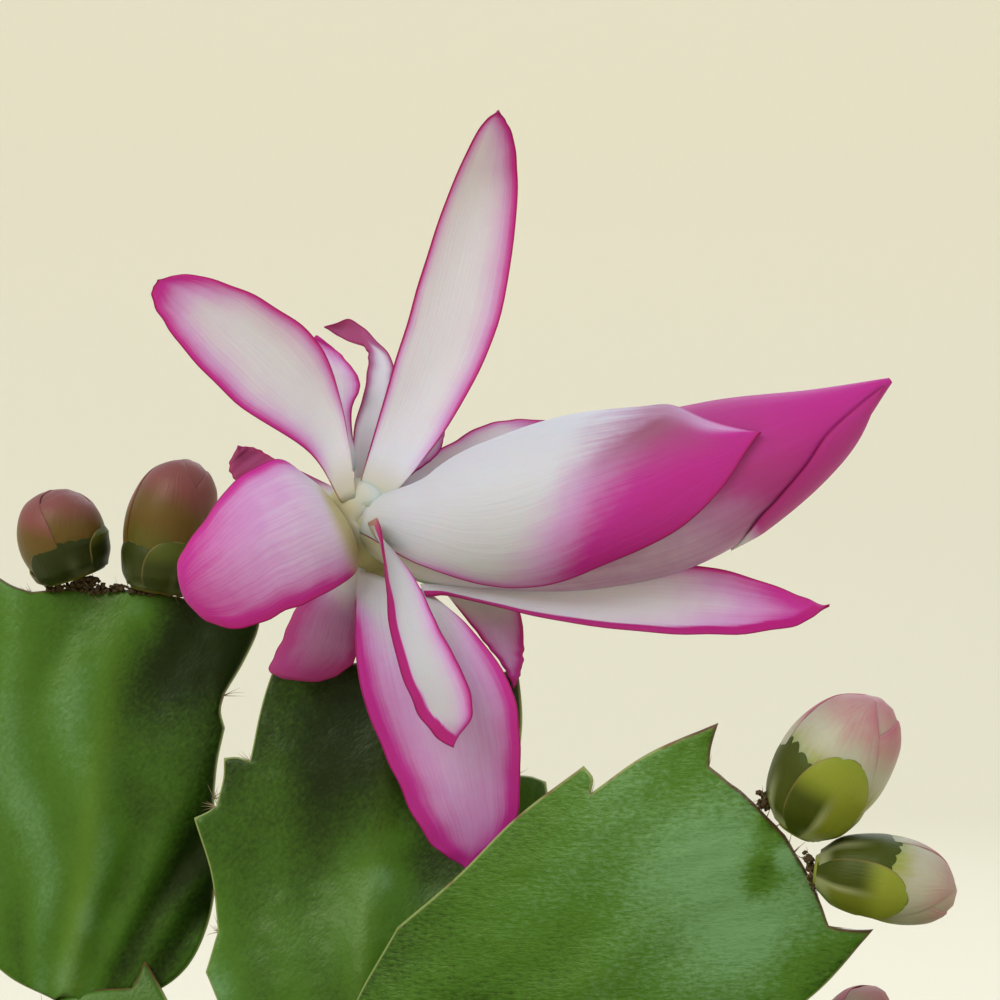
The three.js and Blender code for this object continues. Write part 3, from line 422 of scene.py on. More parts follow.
def unit(vectors):
    return vectors / np.linalg.norm(vectors, axis=-1, keepdims=True)


def clamp(values):
    return np.clip(values, 0, 1)


def step_between(start, end, values):
    """0 before start, 1 after end and a smooth rise between them."""
    share = clamp((values - start) / (end - start))
    return share * share * (3 - 2 * share)


def hermite(x, first, last, start, end):
    """The share x of the way from first to last, leaving by the slope start, arriving by end."""
    rise = 3 * x**2 - 2 * x**3
    return (1 - rise) * first + rise * last + (x**3 - 2 * x**2 + x) * start + (x**3 - x**2) * end


def smooth(stations, values, at):
    """A curve through (stations, values), smooth between the stations."""
    s, v = np.asarray(stations, float), np.asarray(values, float)
    slopes = np.empty_like(v)
    slopes[1:-1] = (v[2:] - v[:-2]) / (s[2:] - s[:-2])
    slopes[0] = (v[1] - v[0]) / (s[1] - s[0])
    slopes[-1] = (v[-1] - v[-2]) / (s[-1] - s[-2])
    k = np.clip(np.searchsorted(s, at, side="left") - 1, 0, len(s) - 2)
    span = s[k + 1] - s[k]
    return hermite((at - s[k]) / span, v[k], v[k + 1], span * slopes[k], span * slopes[k + 1])


def curve_through(points, at):
    """A smooth curve through points, at shares of its length from 0 to 1 counted in points."""
    p = np.asarray(points, float)
    p = np.vstack([2 * p[0] - p[1], p, 2 * p[-1] - p[-2]])
    knots = np.sqrt(np.linalg.norm(np.diff(p, axis=0), axis=1))[:, None]
    place = np.asarray(at) * (len(p) - 3)
    k = np.clip(place.astype(int), 0, len(p) - 4)
    x = (place - k)[:, None]
    before, here, after = knots[k], knots[k + 1], knots[k + 2]
    p0, p1, p2, p3 = p[k], p[k + 1], p[k + 2], p[k + 3]
    start = here * ((p1 - p0) / before - (p2 - p0) / (before + here) + (p2 - p1) / here)
    end = here * ((p2 - p1) / here - (p3 - p1) / (here + after) + (p3 - p2) / after)
    return hermite(x, p1, p2, start, end)


def even_shares(count):
    return np.linspace(0, 1, count)


def bunched(count):
    """Places from -1 to 1 that lie closer together towards both ends."""
    return np.sin(np.linspace(-1, 1, count) * math.pi / 2)


def full_turn(sides):
    return np.arange(sides) * 2 * math.pi / sides


def ripple(points, wavelength, seed):
    """A smooth, repeatable unevenness from about -1 to 1 at points in millimetres."""
    random = np.random.default_rng(seed)
    waves = 7
    total = np.zeros(points.shape[:-1])
    for _ in range(waves):
        way = random.normal(size=points.shape[-1])
        way *= 2 * math.pi * random.uniform(0.7, 1.4) / (wavelength * np.linalg.norm(way))
        total += np.sin(points @ way + random.uniform(0, 2 * math.pi))
    return total / math.sqrt(2 * waves)


def place_in_scene(name, data):
    thing = bpy.data.objects.new(name, data)
    bpy.context.scene.collection.objects.link(thing)
    return thing


def mesh_object(name, points, faces, material=None):
    """An object from points in metres, smooth and of one material where that is given."""
    mesh = bpy.data.meshes.new(name)
    mesh.from_pydata(points.tolist(), [], faces)
    if material:
        mesh.polygons.foreach_set("use_smooth", [True] * len(mesh.polygons))
        mesh.materials.append(material)
    return place_in_scene(name, mesh)


class Shell:
    """Points in millimetres, faces, and values at the points, gathered from several parts."""

    def __init__(self):
        self.points = []
        self.faces = []
        self.values = []
        self.count = 0

    def add(self, points, faces, **values):
        points = np.asarray(points, float).reshape(-1, 3)
        self.faces += [tuple(int(i) + self.count for i in face) for face in faces]
        self.points.append(points)
        size = len(points)
        self.values.append({k: np.broadcast_to(np.ravel(v), (size,)) for k, v in values.items()})
        self.count += size

    def object(self, name, material=None):
        return mesh_object(name, np.vstack(self.points) * MM, self.faces, material)

    def piece(self, name, material, slot, *nodes):
        """The finished Blender object, which rides on the body and stands for the named nodes."""
        thing = self.object(name, material)
        for key in sorted({key for values in self.values for key in values}):
            parts = [v.get(key, np.zeros(len(p))) for v, p in zip(self.values, self.points)]
            layer = thing.data.attributes.new(key, "FLOAT", "POINT")
            layer.data.foreach_set("value", np.concatenate(parts).astype(np.float32))
        thing.data.update()
        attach(thing, BODY)
        if nodes:
            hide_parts(*nodes)
        return thing


def grid_faces(rows, columns, start=0, turned=False):
    i, j = np.meshgrid(np.arange(rows - 1), np.arange(columns - 1), indexing="ij")
    a = (start + i * columns + j).ravel()
    quads = np.stack([a, a + 1, a + columns + 1, a + columns], axis=1)
    return quads[:, ::-1] if turned else quads


def add_sheet(shell, middle, out, thickness, **values):
    """A closed thin sheet about a grid of points, with the direction its upper face looks."""
    rows, columns = middle.shape[:2]
    half = 0.5 * thickness[..., None] * out
    size = rows * columns
    faces = [*grid_faces(rows, columns), *grid_faces(rows, columns, size, turned=True)]
    index = np.arange(size).reshape(rows, columns)
    loop = [*index[0, :], *index[1:, -1], *index[-1, -2::-1], *index[-2:0:-1, 0]]
    for a, b in zip(loop, loop[1:] + loop[:1]):
        faces.append((b, a, a + size, b + size))
    doubled = {key: np.tile(np.ravel(np.broadcast_to(v, (rows, columns))), 2) for key, v in values.items()}
    points = np.vstack([(middle + half).reshape(-1, 3), (middle - half).reshape(-1, 3)])
    shell.add(points, faces, **doubled)


def ring_faces(rows, sides):
    """Faces of a tube through rings of points, open at both ends."""
    faces = []
    for i in range(rows - 1):
        for j in range(sides):
            a, b = i * sides + j, i * sides + (j + 1) % sides
            faces.append((a, b, b + sides, a + sides))
    return faces


def add_rings(shell, rings, **values):
    """A closed tube through rings of points, with a point in the middle of each end."""
    rows, sides = rings.shape[:2]
    size = rows * sides
    faces = ring_faces(rows, sides)
    last = size - sides
    for j in range(sides):
        faces.append(((j + 1) % sides, j, size))
        faces.append((last + j, last + (j + 1) % sides, size + 1))
    points = np.vstack([rings.reshape(-1, 3), rings[0].mean(0), rings[-1].mean(0)])
    full = {}
    for key, value in values.items():
        spread = np.broadcast_to(value, (rows, sides))
        full[key] = np.concatenate([spread.ravel(), [spread[0].mean(), spread[-1].mean()]])
    shell.add(points, faces, **full)


class Spindle:
    """A round form about a curved axis. Angles count from its top towards its front."""

    def __init__(self, axis, stations, radii, up):
        self.axis = np.asarray(axis, float)
        self.stations = stations
        self.radii = radii
        self.up = np.asarray(up, float)

    def at(self, shares, angles, lift=0.0):
        """Points and outward directions for a grid of shares of the axis and angles."""
        shares = np.asarray(shares, float)
        tiny = 1e-3
        centre = curve_through(self.axis, shares)
        ahead = curve_through(self.axis, np.minimum(shares + tiny, 1))
        behind = curve_through(self.axis, np.maximum(shares - tiny, 0))
        along = unit(ahead - behind)
        front = unit(np.cross(along, self.up))
        top = np.cross(front, along)
        out = np.cos(angles)[..., None] * top[:, None] + np.sin(angles)[..., None] * front[:, None]
        radius = smooth(self.stations, self.radii, shares)[:, None] + lift
        return centre[:, None] + out * radius[..., None], out

    def rings(self, rows, sides):
        """Rings of points from end to end, and their angles."""
        angles = np.tile(full_turn(sides), (rows, 1))
        return self.at(even_shares(rows), angles)[0], angles


# Materials: their colours as linear red, green and blue
# The darkest segment green also stands for painted shade, the palest for painted sheen
DARKEST_GREEN = (0.005, 0.013, 0.0005)
LEAF_GREEN = (0.06, 0.145, 0.011)
PALE_AND_SHEEN_GREEN = (0.14, 0.27, 0.1)
RIB_GREEN = (0.13, 0.2, 0.012)
PALE_MARGIN = (0.27, 0.31, 0.09)
BROWN_APEX = (0.12, 0.055, 0.025)
BROWN_MARGIN = (0.2, 0.1, 0.04)
DARK_BARK = (0.09, 0.06, 0.035)
PALE_BARK = (0.24, 0.18, 0.11)
TEPAL_WHITE = (0.63, 0.6, 0.6)
SHADED_WHITE = (0.3, 0.28, 0.27)
MAUVE = (0.56, 0.29, 0.5)
MAGENTA = (0.46, 0.02, 0.235)
CRIMSON = (0.4, 0.012, 0.15)
# A dark rose for painted shade on pink tepals
SHADED_ROSE = (0.26, 0.07, 0.11)
BAND_COLOUR = (0.42, 0.012, 0.16)
EDGE_LINE = (0.24, 0.004, 0.08)
SALLOW = (0.43, 0.36, 0.13)
YELLOW_GREEN = (0.27, 0.28, 0.05)
CREAM = (0.4, 0.36, 0.25)
ROSE = (0.4, 0.12, 0.15)
DEEP_OLIVE = (0.09, 0.08, 0.01)
DEEP_BROWN = (0.12, 0.065, 0.012)
DEEP_ROSE = (0.2, 0.055, 0.05)
BRIGHT_SCALE = (0.22, 0.24, 0.02)
DEEP_BRIGHT_SCALE = (0.07, 0.08, 0.01)
# Scale colours under painted shade
SHADED_SCALE = (0.045, 0.055, 0.002)
DEEP_SHADED_SCALE = (0.018, 0.024, 0.002)
PALE_KEEL = (0.42, 0.42, 0.2)
SCALE_EDGE = (0.2, 0.13, 0.04)
OVARY_GREEN = (0.16, 0.26, 0.04)
OVARY_PALE = (0.36, 0.42, 0.11)
BRISTLE_BROWN = (0.2, 0.12, 0.06)
BRISTLE_PALE = (0.5, 0.36, 0.2)
FELT_DARK = (0.03, 0.018, 0.004)
FELT_BROWN = (0.1, 0.06, 0.022)
DAMP_CLAY = (0.36, 0.13, 0.06)
DRY_CLAY = (0.5, 0.215, 0.115)
CLAY_GRAIN = (0.62, 0.36, 0.22)
MINERAL_BLOOM = (0.66, 0.56, 0.47)
WET_PEAT = (0.012, 0.008, 0.005)
PEAT = (0.05, 0.03, 0.018)
BARK_CRUMB = (0.14, 0.08, 0.04)
PERLITE = (0.62, 0.6, 0.55)
STAGE_COLOUR = (0.86, 0.79, 0.605)


class Shader:
    """A material's node tree, built up call by call round one Principled shader."""

    def __init__(self, name):
        self.material = bpy.data.materials.new(name)
        self.material.use_nodes = True
        self.tree = self.material.node_tree
        self.surface = self.tree.nodes["Principled BSDF"]

    def link(self, source, target):
        if isinstance(source, bpy.types.NodeSocket):
            self.tree.links.new(source, target)
        elif isinstance(source, (tuple, list)) and target.type == "RGBA":
            target.default_value = (*source, 1)
        else:
            target.default_value = source

    def node(self, kind, inputs, **settings):
        """The outputs of a new node with these settings and inputs."""
        node = self.tree.nodes.new("ShaderNode" + kind)
        for key, value in settings.items():
            setattr(node, key, value)
        for key, value in inputs.items():
            self.link(value, node.inputs[key])
        return node.outputs

    def set(self, **inputs):
        """Inputs of the Principled shader, named with underscores for spaces."""
        for key, value in inputs.items():
            self.link(value, self.surface.inputs[key.replace("_", " ")])
        return self.material

    def attributes(self, *names):
        return [self.node("Attribute", {}, attribute_name=name)["Fac"] for name in names]

    def stretched(self, across, along):
        """A sheet's own shares across and along it, scaled so that a noise there runs lengthwise."""
        by_across, by_along = self.attributes("across", "along")
        return self.vector(self.times(by_across, across), self.times(by_along, along), 0)

    def vector(self, x, y, z):
        return self.node("CombineXYZ", {0: x, 1: y, 2: z})[0]

    def noise(self, scale, detail=3.0, roughness=0.5, at=None):
        """An unevenness from 0 to 1, in place on the object unless another place is given."""
        at = at or self.node("TexCoord", {})["Object"]
        inputs = {"Vector": at, "Scale": scale, "Detail": detail, "Roughness": roughness}
        return self.node("TexNoise", inputs)["Fac"]

    def plus(self, a, b):
        return self.node("Math", {0: a, 1: b}, operation="ADD")[0]

    def times(self, a, b, clamped=False):
        return self.node("Math", {0: a, 1: b}, operation="MULTIPLY", use_clamp=clamped)[0]

    def swing(self, value, middle, amount):
        """How far a value is from a middle one, times an amount."""
        return self.times(self.plus(value, -middle), amount)

    def between(self, value, low, high):
        """The value's share of the way from low to high, held from 0 to 1."""
        inputs = {"Value": value, "From Min": low, "From Max": high}
        return self.node("MapRange", inputs, interpolation_type="SMOOTHSTEP")["Result"]

    def layers(self, base, *layers):
        """The base colour with each (amount, colour) laid over it in turn."""
        for amount, colour in layers:
            base = self.node("Mix", {"Factor": amount, 6: base, 7: colour}, data_type="RGBA")[2]
        return base

    def bump(self, height, distance, strength=1.0):
        inputs = {"Distance": distance, "Strength": strength, "Height": height}
        self.set(Normal=self.node("Bump", inputs)["Normal"])


def segment_material():
    """Green flesh from near black, partly painted shade, to pale bluish green, partly painted sheen; thin
    pale margins, corky old growth.
    """
    s = Shader("segment_flesh")
    edge, age, rib, tone, apex = s.attributes("edge", "age", "rib", "tone", "apex")
    across, along, streaked = s.attributes("across", "along", "streaked")
    fine = s.noise(2300, 2)
    uneven = s.plus(s.times(s.noise(110, 3), 0.7), s.times(fine, 0.55))
    with_streaks = s.plus(along, s.times(across, 0.7))
    over_streaks = s.plus(s.times(along, -1.8), s.times(across, 2.6))
    streaks = s.swing(s.noise(1, 3, 0.6, s.vector(with_streaks, over_streaks, 0)), 0.5, streaked)
    shade = s.plus(s.plus(tone, s.plus(uneven, -0.62)), s.times(streaks, 1.4))
    margin_colour = s.layers(
        PALE_MARGIN, (apex, BROWN_APEX), (s.between(s.noise(260, 2), 0.55, 0.68), BROWN_MARGIN),
    )
    woody = s.between(s.plus(age, s.times(s.noise(180, 4), 0.5)), 0.75, 1.1)
    # The tone runs from painted shade through the green's own colour to painted sheen
    colour = s.layers(
        DARKEST_GREEN, (s.between(shade, -1.05, 0.1), LEAF_GREEN), (s.between(shade, 0, 1), PALE_AND_SHEEN_GREEN),
        (s.times(rib, 0.4), RIB_GREEN), (s.between(edge, 0.3, 0.08), margin_colour),
        (woody, s.layers(DARK_BARK, (s.noise(500, 4, 0.7), PALE_BARK))),
    )
    grain = s.plus(s.plus(s.times(fine, 0.35), s.noise(700, 3)), s.times(streaks, 1.5))
    s.bump(s.plus(grain, s.times(woody, s.noise(600, 4, 0.7))), 0.00016, 0.5)
    return s.set(
        Base_Color=colour, Roughness=s.plus(0.36, s.times(woody, 0.4)), Specular_IOR_Level=0.28,
        Specular_Tint=(0.9, 1, 0.55), Subsurface_Weight=0.03, Subsurface_Scale=0.002,
    )


def tepal_material():
    """White flesh blushing to magenta along the margins and tips, with fine lengthwise veins."""
    s = Shader("tepal_flesh")
    blush, edge, throat = s.attributes("blush", "edge", "throat")
    band, dusky, shade = s.attributes("band", "dusky", "shade")
    veins = s.noise(3.2, 3, 0.6, s.stretched(7, 1.1))
    mottle = s.noise(330, 4, 0.6)
    uneven = s.plus(s.times(veins, 0.45), s.times(mottle, 0.3))
    amount = s.plus(blush, s.swing(uneven, 0.37, 0.6))
    amount = s.times(amount, s.between(blush, 0, 0.12), clamped=True)
    pink = s.between(amount, 0, 0.5)
    # Painted shade greys the white and darkens the pink to a darker rose
    colour = s.layers(
        TEPAL_WHITE, (shade, SHADED_WHITE), (pink, MAUVE), (s.between(amount, 0.35, 0.9), MAGENTA),
        (s.between(amount, 0.85, 1.2), CRIMSON), (s.times(dusky, pink), SHADED_ROSE), (band, BAND_COLOUR),
        (s.times(s.between(edge, 0.2, 0.04), s.between(blush, 0.15, 0.5)), EDGE_LINE),
        (s.times(throat, 0.9), SALLOW),
    )
    s.bump(s.plus(veins, s.times(mottle, 0.3)), 0.00018, 0.3)
    return s.set(
        Base_Color=colour, Roughness=0.5, Specular_IOR_Level=0.2, Subsurface_Weight=0.3,
        Subsurface_Scale=0.0012,
    )


def bud_material():
    """Olive scales with painted shade beside their keels and a pale keel below, and tepals from yellow
    green through cream to rose.
    """
    s = Shader("bud_flesh")
    scale, rosy, edge, deep, dim, keel = s.attributes("scale", "rosy", "edge", "deep", "dim", "keel")
    streaks = s.noise(3, 3, 0.6, s.stretched(6, 1.2))
    soft = s.noise(420, 3)
    flush = s.plus(s.plus(rosy, s.swing(streaks, 0.5, 0.2)), s.swing(soft, 0.5, 0.25))
    pale = s.layers(YELLOW_GREEN, (s.between(flush, 0.05, 0.3), CREAM), (s.between(flush, 0.3, 0.75), ROSE))
    dark = s.layers(
        DEEP_OLIVE, (s.between(flush, 0, 0.2), DEEP_BROWN), (s.between(flush, 0.35, 0.85), DEEP_ROSE),
    )
    bright_scale = s.layers(BRIGHT_SCALE, (deep, DEEP_BRIGHT_SCALE))
    shaded_scale = s.layers(SHADED_SCALE, (deep, DEEP_SHADED_SCALE))
    # The scales' own olive, with painted shade laid over it beside their keels
    olive = s.layers(
        bright_scale, (dim, shaded_scale), (s.times(keel, s.plus(0.6, s.times(deep, -0.5))), PALE_KEEL),
        (s.times(s.between(edge, 0.22, 0.06), 0.6), SCALE_EDGE),
    )
    s.bump(s.plus(s.times(streaks, 0.5), s.times(soft, 0.6)), 0.0002, 0.5)
    return s.set(
        Base_Color=s.layers(pale, (deep, dark), (scale, olive)), Roughness=0.42, Specular_IOR_Level=0.25,
        Specular_Tint=(0.95, 1, 0.6), Subsurface_Weight=0.15, Subsurface_Scale=0.0012,
    )


def ovary_material():
    s = Shader("ovary_flesh")
    mottle = s.noise(300, 3)
    s.bump(mottle, 0.0002, 0.4)
    return s.set(
        Base_Color=s.layers(OVARY_GREEN, (mottle, OVARY_PALE)), Roughness=0.4, Subsurface_Weight=0.15,
        Subsurface_Scale=0.001,
    )


def bristle_material():
    s = Shader("areole_bristle")
    hair = s.layers(BRISTLE_BROWN, (s.noise(300, 2), BRISTLE_PALE))
    lump = s.layers(FELT_DARK, (s.noise(900, 2), FELT_BROWN))
    felt, = s.attributes("felt")
    return s.set(Base_Color=s.layers(hair, (felt, lump)), Roughness=0.7, Specular_IOR_Level=0.2)


def clay_material():
    """Fired clay: grain, darker damp patches and pale mineral bloom by the rim and the foot."""
    s = Shader("fired_clay")
    grain = s.noise(700, 4, 0.7)
    bloom, = s.attributes("bloom")
    bloom = s.between(s.plus(bloom, s.times(s.noise(45, 6, 0.65), 0.9)), 0.78, 1.25)
    colour = s.layers(
        DAMP_CLAY, (s.between(s.noise(18, 5, 0.6), 0.3, 0.7), DRY_CLAY),
        (s.between(grain, 0.6, 0.78), CLAY_GRAIN), (s.times(bloom, 0.55), MINERAL_BLOOM),
    )
    s.bump(s.plus(s.times(grain, 0.5), s.noise(150, 4, 0.6)), 0.0004, 0.5)
    return s.set(Base_Color=colour, Roughness=0.85, Specular_IOR_Level=0.25)


def soil_material():
    """Peat and bark crumbs, from near black to tan, and white perlite."""
    s = Shader("potting_mix")
    tone, = s.attributes("tone")
    mottle = s.noise(900, 4, 0.7)
    colour = s.layers(
        WET_PEAT, (mottle, PEAT), (s.between(tone, 0.1, 0.7), BARK_CRUMB),
        (s.between(tone, 0.85, 0.95), PERLITE),
    )
    s.bump(mottle, 0.0006, 0.7)
    return s.set(Base_Color=colour, Roughness=0.95, Specular_IOR_Level=0.2)


def stage_material():
    return Shader("pale_stage").set(Base_Color=STAGE_COLOUR, Roughness=0.95, Specular_IOR_Level=0.1)


# Pot and soil


def lathe_rings(profile, sides):
    """Rings of points round +Z from a profile of (radius, height), from its first to its last."""
    angles = full_turn(sides)
    profile = np.asarray(profile, float)
    x = profile[:, :1] * np.cos(angles)
    y = profile[:, :1] * np.sin(angles)
    z = np.broadcast_to(profile[:, 1:], x.shape)
    return np.stack([x, y, z], axis=-1)


def rounded(profile, radius, steps=4):
    """The profile with each inner corner rounded off."""
    p = np.asarray(profile, float)
    points = [p[0]]
    for before, here, after in zip(p, p[1:], p[2:]):
        cut = min(radius, np.linalg.norm(before - here) * 0.45, np.linalg.norm(after - here) * 0.45)
        start = here + unit(before - here) * cut
        end = here + unit(after - here) * cut
        for t in np.linspace(0, 1, steps):
            points.append((1 - t) ** 2 * start + 2 * t * (1 - t) * here + t * t * end)
    points.append(p[-1])
    return np.array(points)


def subdivided(profile, spacing):
    """The profile with points added along its longer stretches."""
    points = [profile[0]]
    for a, b in zip(profile, profile[1:]):
        count = max(1, int(np.linalg.norm(b - a) / spacing))
        points += [a + (b - a) * (i + 1) / count for i in range(count)]
    return np.array(points)


def make_pot(material):
    rim_bottom = POT_HEIGHT - RIM_HEIGHT
    rim_low = POT_BODY_RADIUS + RIM_STEP
    shoulder = POT_BODY_RADIUS - WALL
    profile = [
        (HUB, 0), (POT_BASE_RADIUS - CHAMFER, 0), (POT_BASE_RADIUS, CHAMFER),
        (POT_BODY_RADIUS, rim_bottom), (rim_low, rim_bottom + CHAMFER),
        (POT_RIM_RADIUS, POT_HEIGHT - CHAMFER), (POT_RIM_RADIUS - CHAMFER, POT_HEIGHT),
        (POT_RIM_RADIUS - WALL, POT_HEIGHT), (shoulder + RIM_STEP, rim_bottom + CHAMFER),
        (shoulder, rim_bottom - WALL), (POT_BASE_RADIUS - WALL, FLOOR), (HUB, FLOOR),
    ]
    profile = subdivided(rounded(profile, POT_ROUNDING), POT_SPACING)
    shell = Shell()
    rings = lathe_rings(profile, POT_SIDES)
    height = rings[..., 2]
    by_rim = np.exp(-np.abs(height - rim_bottom) / 6)
    by_foot = np.exp(-height / 12)
    add_rings(shell, rings, bloom=np.maximum(0.55 * by_rim, 0.6 * by_foot) + 0.15 * (height > rim_bottom))
    pot = shell.piece("clay_pot", material, "clay", "pot")
    cutters = Shell()
    for angle in full_turn(DRAIN_COUNT):
        hole = lathe_rings([(DRAIN_RADIUS, -FLOOR), (DRAIN_RADIUS, 2 * FLOOR)], DRAIN_SIDES)
        hole += (DRAIN_CIRCLE * math.cos(angle), DRAIN_CIRCLE * math.sin(angle), 0)
        add_rings(cutters, hole)
    cut_away(pot, cutters)
    return pot


def cut_away(thing, cutters):
    """Cuts the shell's solids out of an object."""
    cutter = cutters.object("cutters")
    modifier = thing.modifiers.new("holes", "BOOLEAN")
    modifier.operation = "DIFFERENCE"
    modifier.solver = "EXACT"
    modifier.object = cutter
    depsgraph = bpy.context.evaluated_depsgraph_get()
    result = bpy.data.meshes.new_from_object(thing.evaluated_get(depsgraph))
    thing.modifiers.clear()
    thing.data = result
    bpy.data.objects.remove(cutter)


def soil_height(radius_share):
    return SOIL_TOP + SOIL_RISE * smooth(*zip(*SOIL_MOUND), clamp(1 - radius_share))


def make_soil(material, roots):
    """A mound of potting mix, its surface broken up by crumbs of bark and perlite."""
    shoulder_height = POT_HEIGHT - RIM_HEIGHT - WALL
    shoulder = POT_BODY_RADIUS - WALL
    edge = shoulder + RIM_STEP - 2 * GAP
    shares = np.linspace(1, 0.004, SOIL_ROWS)
    floor = [(0.2, FLOOR + GAP), (POT_BASE_RADIUS - WALL - GAP, FLOOR + GAP)]
    profile = floor + [(shoulder - GAP, shoulder_height)] + [(edge * s, soil_height(s)) for s in shares]
    rings = lathe_rings(profile, SOIL_SIDES)
    top = rings[3:]
    top[..., 2] += 0.5 * ripple(top, 9, 1) + 0.35 * ripple(top, 3, 2) - 0.5
    shell = Shell()
    add_rings(shell, rings, tone=0.2)
    random = np.random.default_rng(5)
    for _ in range(CRUMBS):
        share = math.sqrt(random.uniform(0, 0.97))
        angle = random.uniform(0, 2 * math.pi)
        size = random.gamma(3, 0.32) + 0.35
        white = random.uniform() < PERLITE_SHARE
        x, y = edge * share * math.cos(angle), edge * share * math.sin(angle)
        near_trunk = min(math.hypot(x - root[0], y - root[1]) for root in roots)
        if near_trunk < TRUNK_RADIUS + 0.4 * size or edge * (1 - share) < 0.6 * size:
            continue
        centre = np.array([x, y, soil_height(share) - 0.3 + 0.25 * size])
        tone = 1.0 if white else random.uniform(0, 0.8)
        add_crumb(shell, centre, size, 0.75 if white else 0.45, random, tone=tone)
    return shell.piece("potting_soil", material, "soil", "soil")


GOLDEN = (1 + math.sqrt(5)) / 2
CRUMB_CORNERS = unit(np.array([
    (-1, GOLDEN, 0), (1, GOLDEN, 0), (-1, -GOLDEN, 0), (1, -GOLDEN, 0), (0, -1, GOLDEN), (0, 1, GOLDEN),
    (0, -1, -GOLDEN), (0, 1, -GOLDEN), (GOLDEN, 0, -1), (GOLDEN, 0, 1), (-GOLDEN, 0, -1), (-GOLDEN, 0, 1),
]))
CRUMB_FACES = [
    (0, 11, 5), (0, 5, 1), (0, 1, 7), (0, 7, 10), (0, 10, 11), (1, 5, 9), (5, 11, 4), (11, 10, 2),
    (10, 7, 6), (7, 1, 8), (3, 9, 4), (3, 4, 2), (3, 2, 6), (3, 6, 8), (3, 8, 9), (4, 9, 5),
    (2, 4, 11), (6, 2, 10), (8, 6, 7), (9, 8, 1),
]


def add_crumb(shell, centre, size, flatness, random, **values):
    """A small irregular lump of twenty faces."""
    corners = CRUMB_CORNERS * random.uniform(0.7, 1.25, (12, 1)) * (1, random.uniform(0.5, 1), flatness)
    turn, lean = random.uniform(0, 2 * math.pi), random.uniform(-0.6, 0.6)
    c, s, cl, sl = math.cos(turn), math.sin(turn), math.cos(lean), math.sin(lean)
    spin = np.array([(c, -s, 0), (s, c, 0), (0, 0, 1)]) @ np.array([(1, 0, 0), (0, cl, -sl), (0, sl, cl)])
    shell.add(centre + size * corners @ spin.T, CRUMB_FACES, **values)


# Stem segments


def direction(heading, pitch):
    h, p = math.radians(heading), math.radians(pitch)
    return np.array([math.cos(p) * math.cos(h), math.cos(p) * math.sin(h), math.sin(p)])


def upper_face(heading, pitch, roll):
    face, axis = direction(heading, pitch + 90), direction(heading, pitch)
    r = math.radians(roll)
    return face * math.cos(r) + np.cross(axis, face) * math.sin(r)


def margin_points(stretches, half_width, length, spacing):
    """Points of a margin in millimetres, and the index of each corner between stretches."""
    scale = np.array([half_width, length])
    points, corners = [], []
    for stretch in stretches:
        p = np.asarray(stretch, float) * scale
        reach = np.linalg.norm(np.diff(p, axis=0), axis=1).sum()
        count = max(2, int(reach / spacing) + 1)
        shares = even_shares(count + 1)[:-1]
        corners.append(sum(len(done) for done in points))
        curve = curve_through(p, shares) if len(p) > 2 else p[0] + (p[1] - p[0]) * shares[:, None]
        points.append(curve)
    points.append(np.asarray([stretches[-1][-1]], float) * scale)
    return np.vstack(points), corners


def gap_to_outline(points, outline):
    """How far each flat point is from an outline, and whether it is inside it."""
    a, b = outline, np.roll(outline, -1, axis=0)
    ab = b - a
    ap = points[:, None] - a[None]
    share = clamp((ap * ab).sum(-1) / (ab * ab).sum(-1))
    gaps = np.sqrt(((ap - share[..., None] * ab) ** 2).sum(-1)).min(axis=1)
    x, y = points[:, :1], points[:, 1:]
    crosses = (a[:, 1] > y) != (b[:, 1] > y)
    rise = np.where(ab[:, 1] == 0, 1, ab[:, 1])
    where = a[:, 0] + (y - a[:, 1]) * ab[:, 0] / rise
    return gaps, (crosses & (x < where)).sum(axis=1) % 2 == 1


def filled(outline, spacing):
    """Points and triangles that fill a flat outline, with rows close behind its margin."""
    ahead, behind = np.roll(outline, -1, axis=0), np.roll(outline, 1, axis=0)
    way = unit(ahead - behind)
    inward = np.stack([-way[:, 1], way[:, 0]], axis=1)
    loose = []
    for depth in RIM_ROWS:
        row = outline + depth * inward
        gaps, within = gap_to_outline(row, outline)
        loose.append(row[within & (gaps > 0.9 * depth)])
    low, high = outline.min(axis=0), outline.max(axis=0)
    rows = np.arange(low[1], high[1], spacing * math.sqrt(0.75))
    columns = np.arange(low[0], high[0], spacing)
    lattice = np.array([(x + (i % 2) * spacing / 2, y) for i, y in enumerate(rows) for x in columns])
    gaps, within = gap_to_outline(lattice, outline)
    loose.append(lattice[within & (gaps > RIM_ROWS[-1] + 0.45 * spacing)])
    flat = np.vstack([outline, *loose])
    count = len(outline)
    edges = [(i, (i + 1) % count) for i in range(count)]
    points, _, faces, *_ = delaunay_2d_cdt([Vector(p) for p in flat], edges, [], 1, 1e-6)
    points = np.array([tuple(p) for p in points])
    gaps, _ = gap_to_outline(points, outline)
    return points, faces, gaps


FILLED = {}


def segment_pattern(left, right, half_width, length, spacing):
    """The flat pattern of a segment, made once for each form and rough size."""
    key = (id(left), id(right), round(half_width), round(length / 2), spacing)
    if key not in FILLED:
        step = 0.6 * spacing
        right_side, right_corners = margin_points(right, half_width, length, step)
        left_side, left_corners = margin_points(left, half_width, length, step)
        left_side = left_side * (-1, 1)
        outline = np.vstack([right_side, left_side[-2::-1]])
        points, faces, gaps = filled(outline, spacing)
        areoles = []
        for side, corners in ((right_side, right_corners), (left_side, left_corners)):
            for corner in corners[1:]:
                before, here, after = side[corner - 1], side[corner], side[corner + 1]
                turn = np.cross(here - before, after - here) * np.sign(here[0])
                if turn < 0:
                    areoles.append(here)
        size = (half_width, length)
        places = np.array(areoles, float).reshape(-1, 2) / size
        FILLED[key] = (points / size, faces, gaps, places)
    return FILLED[key]


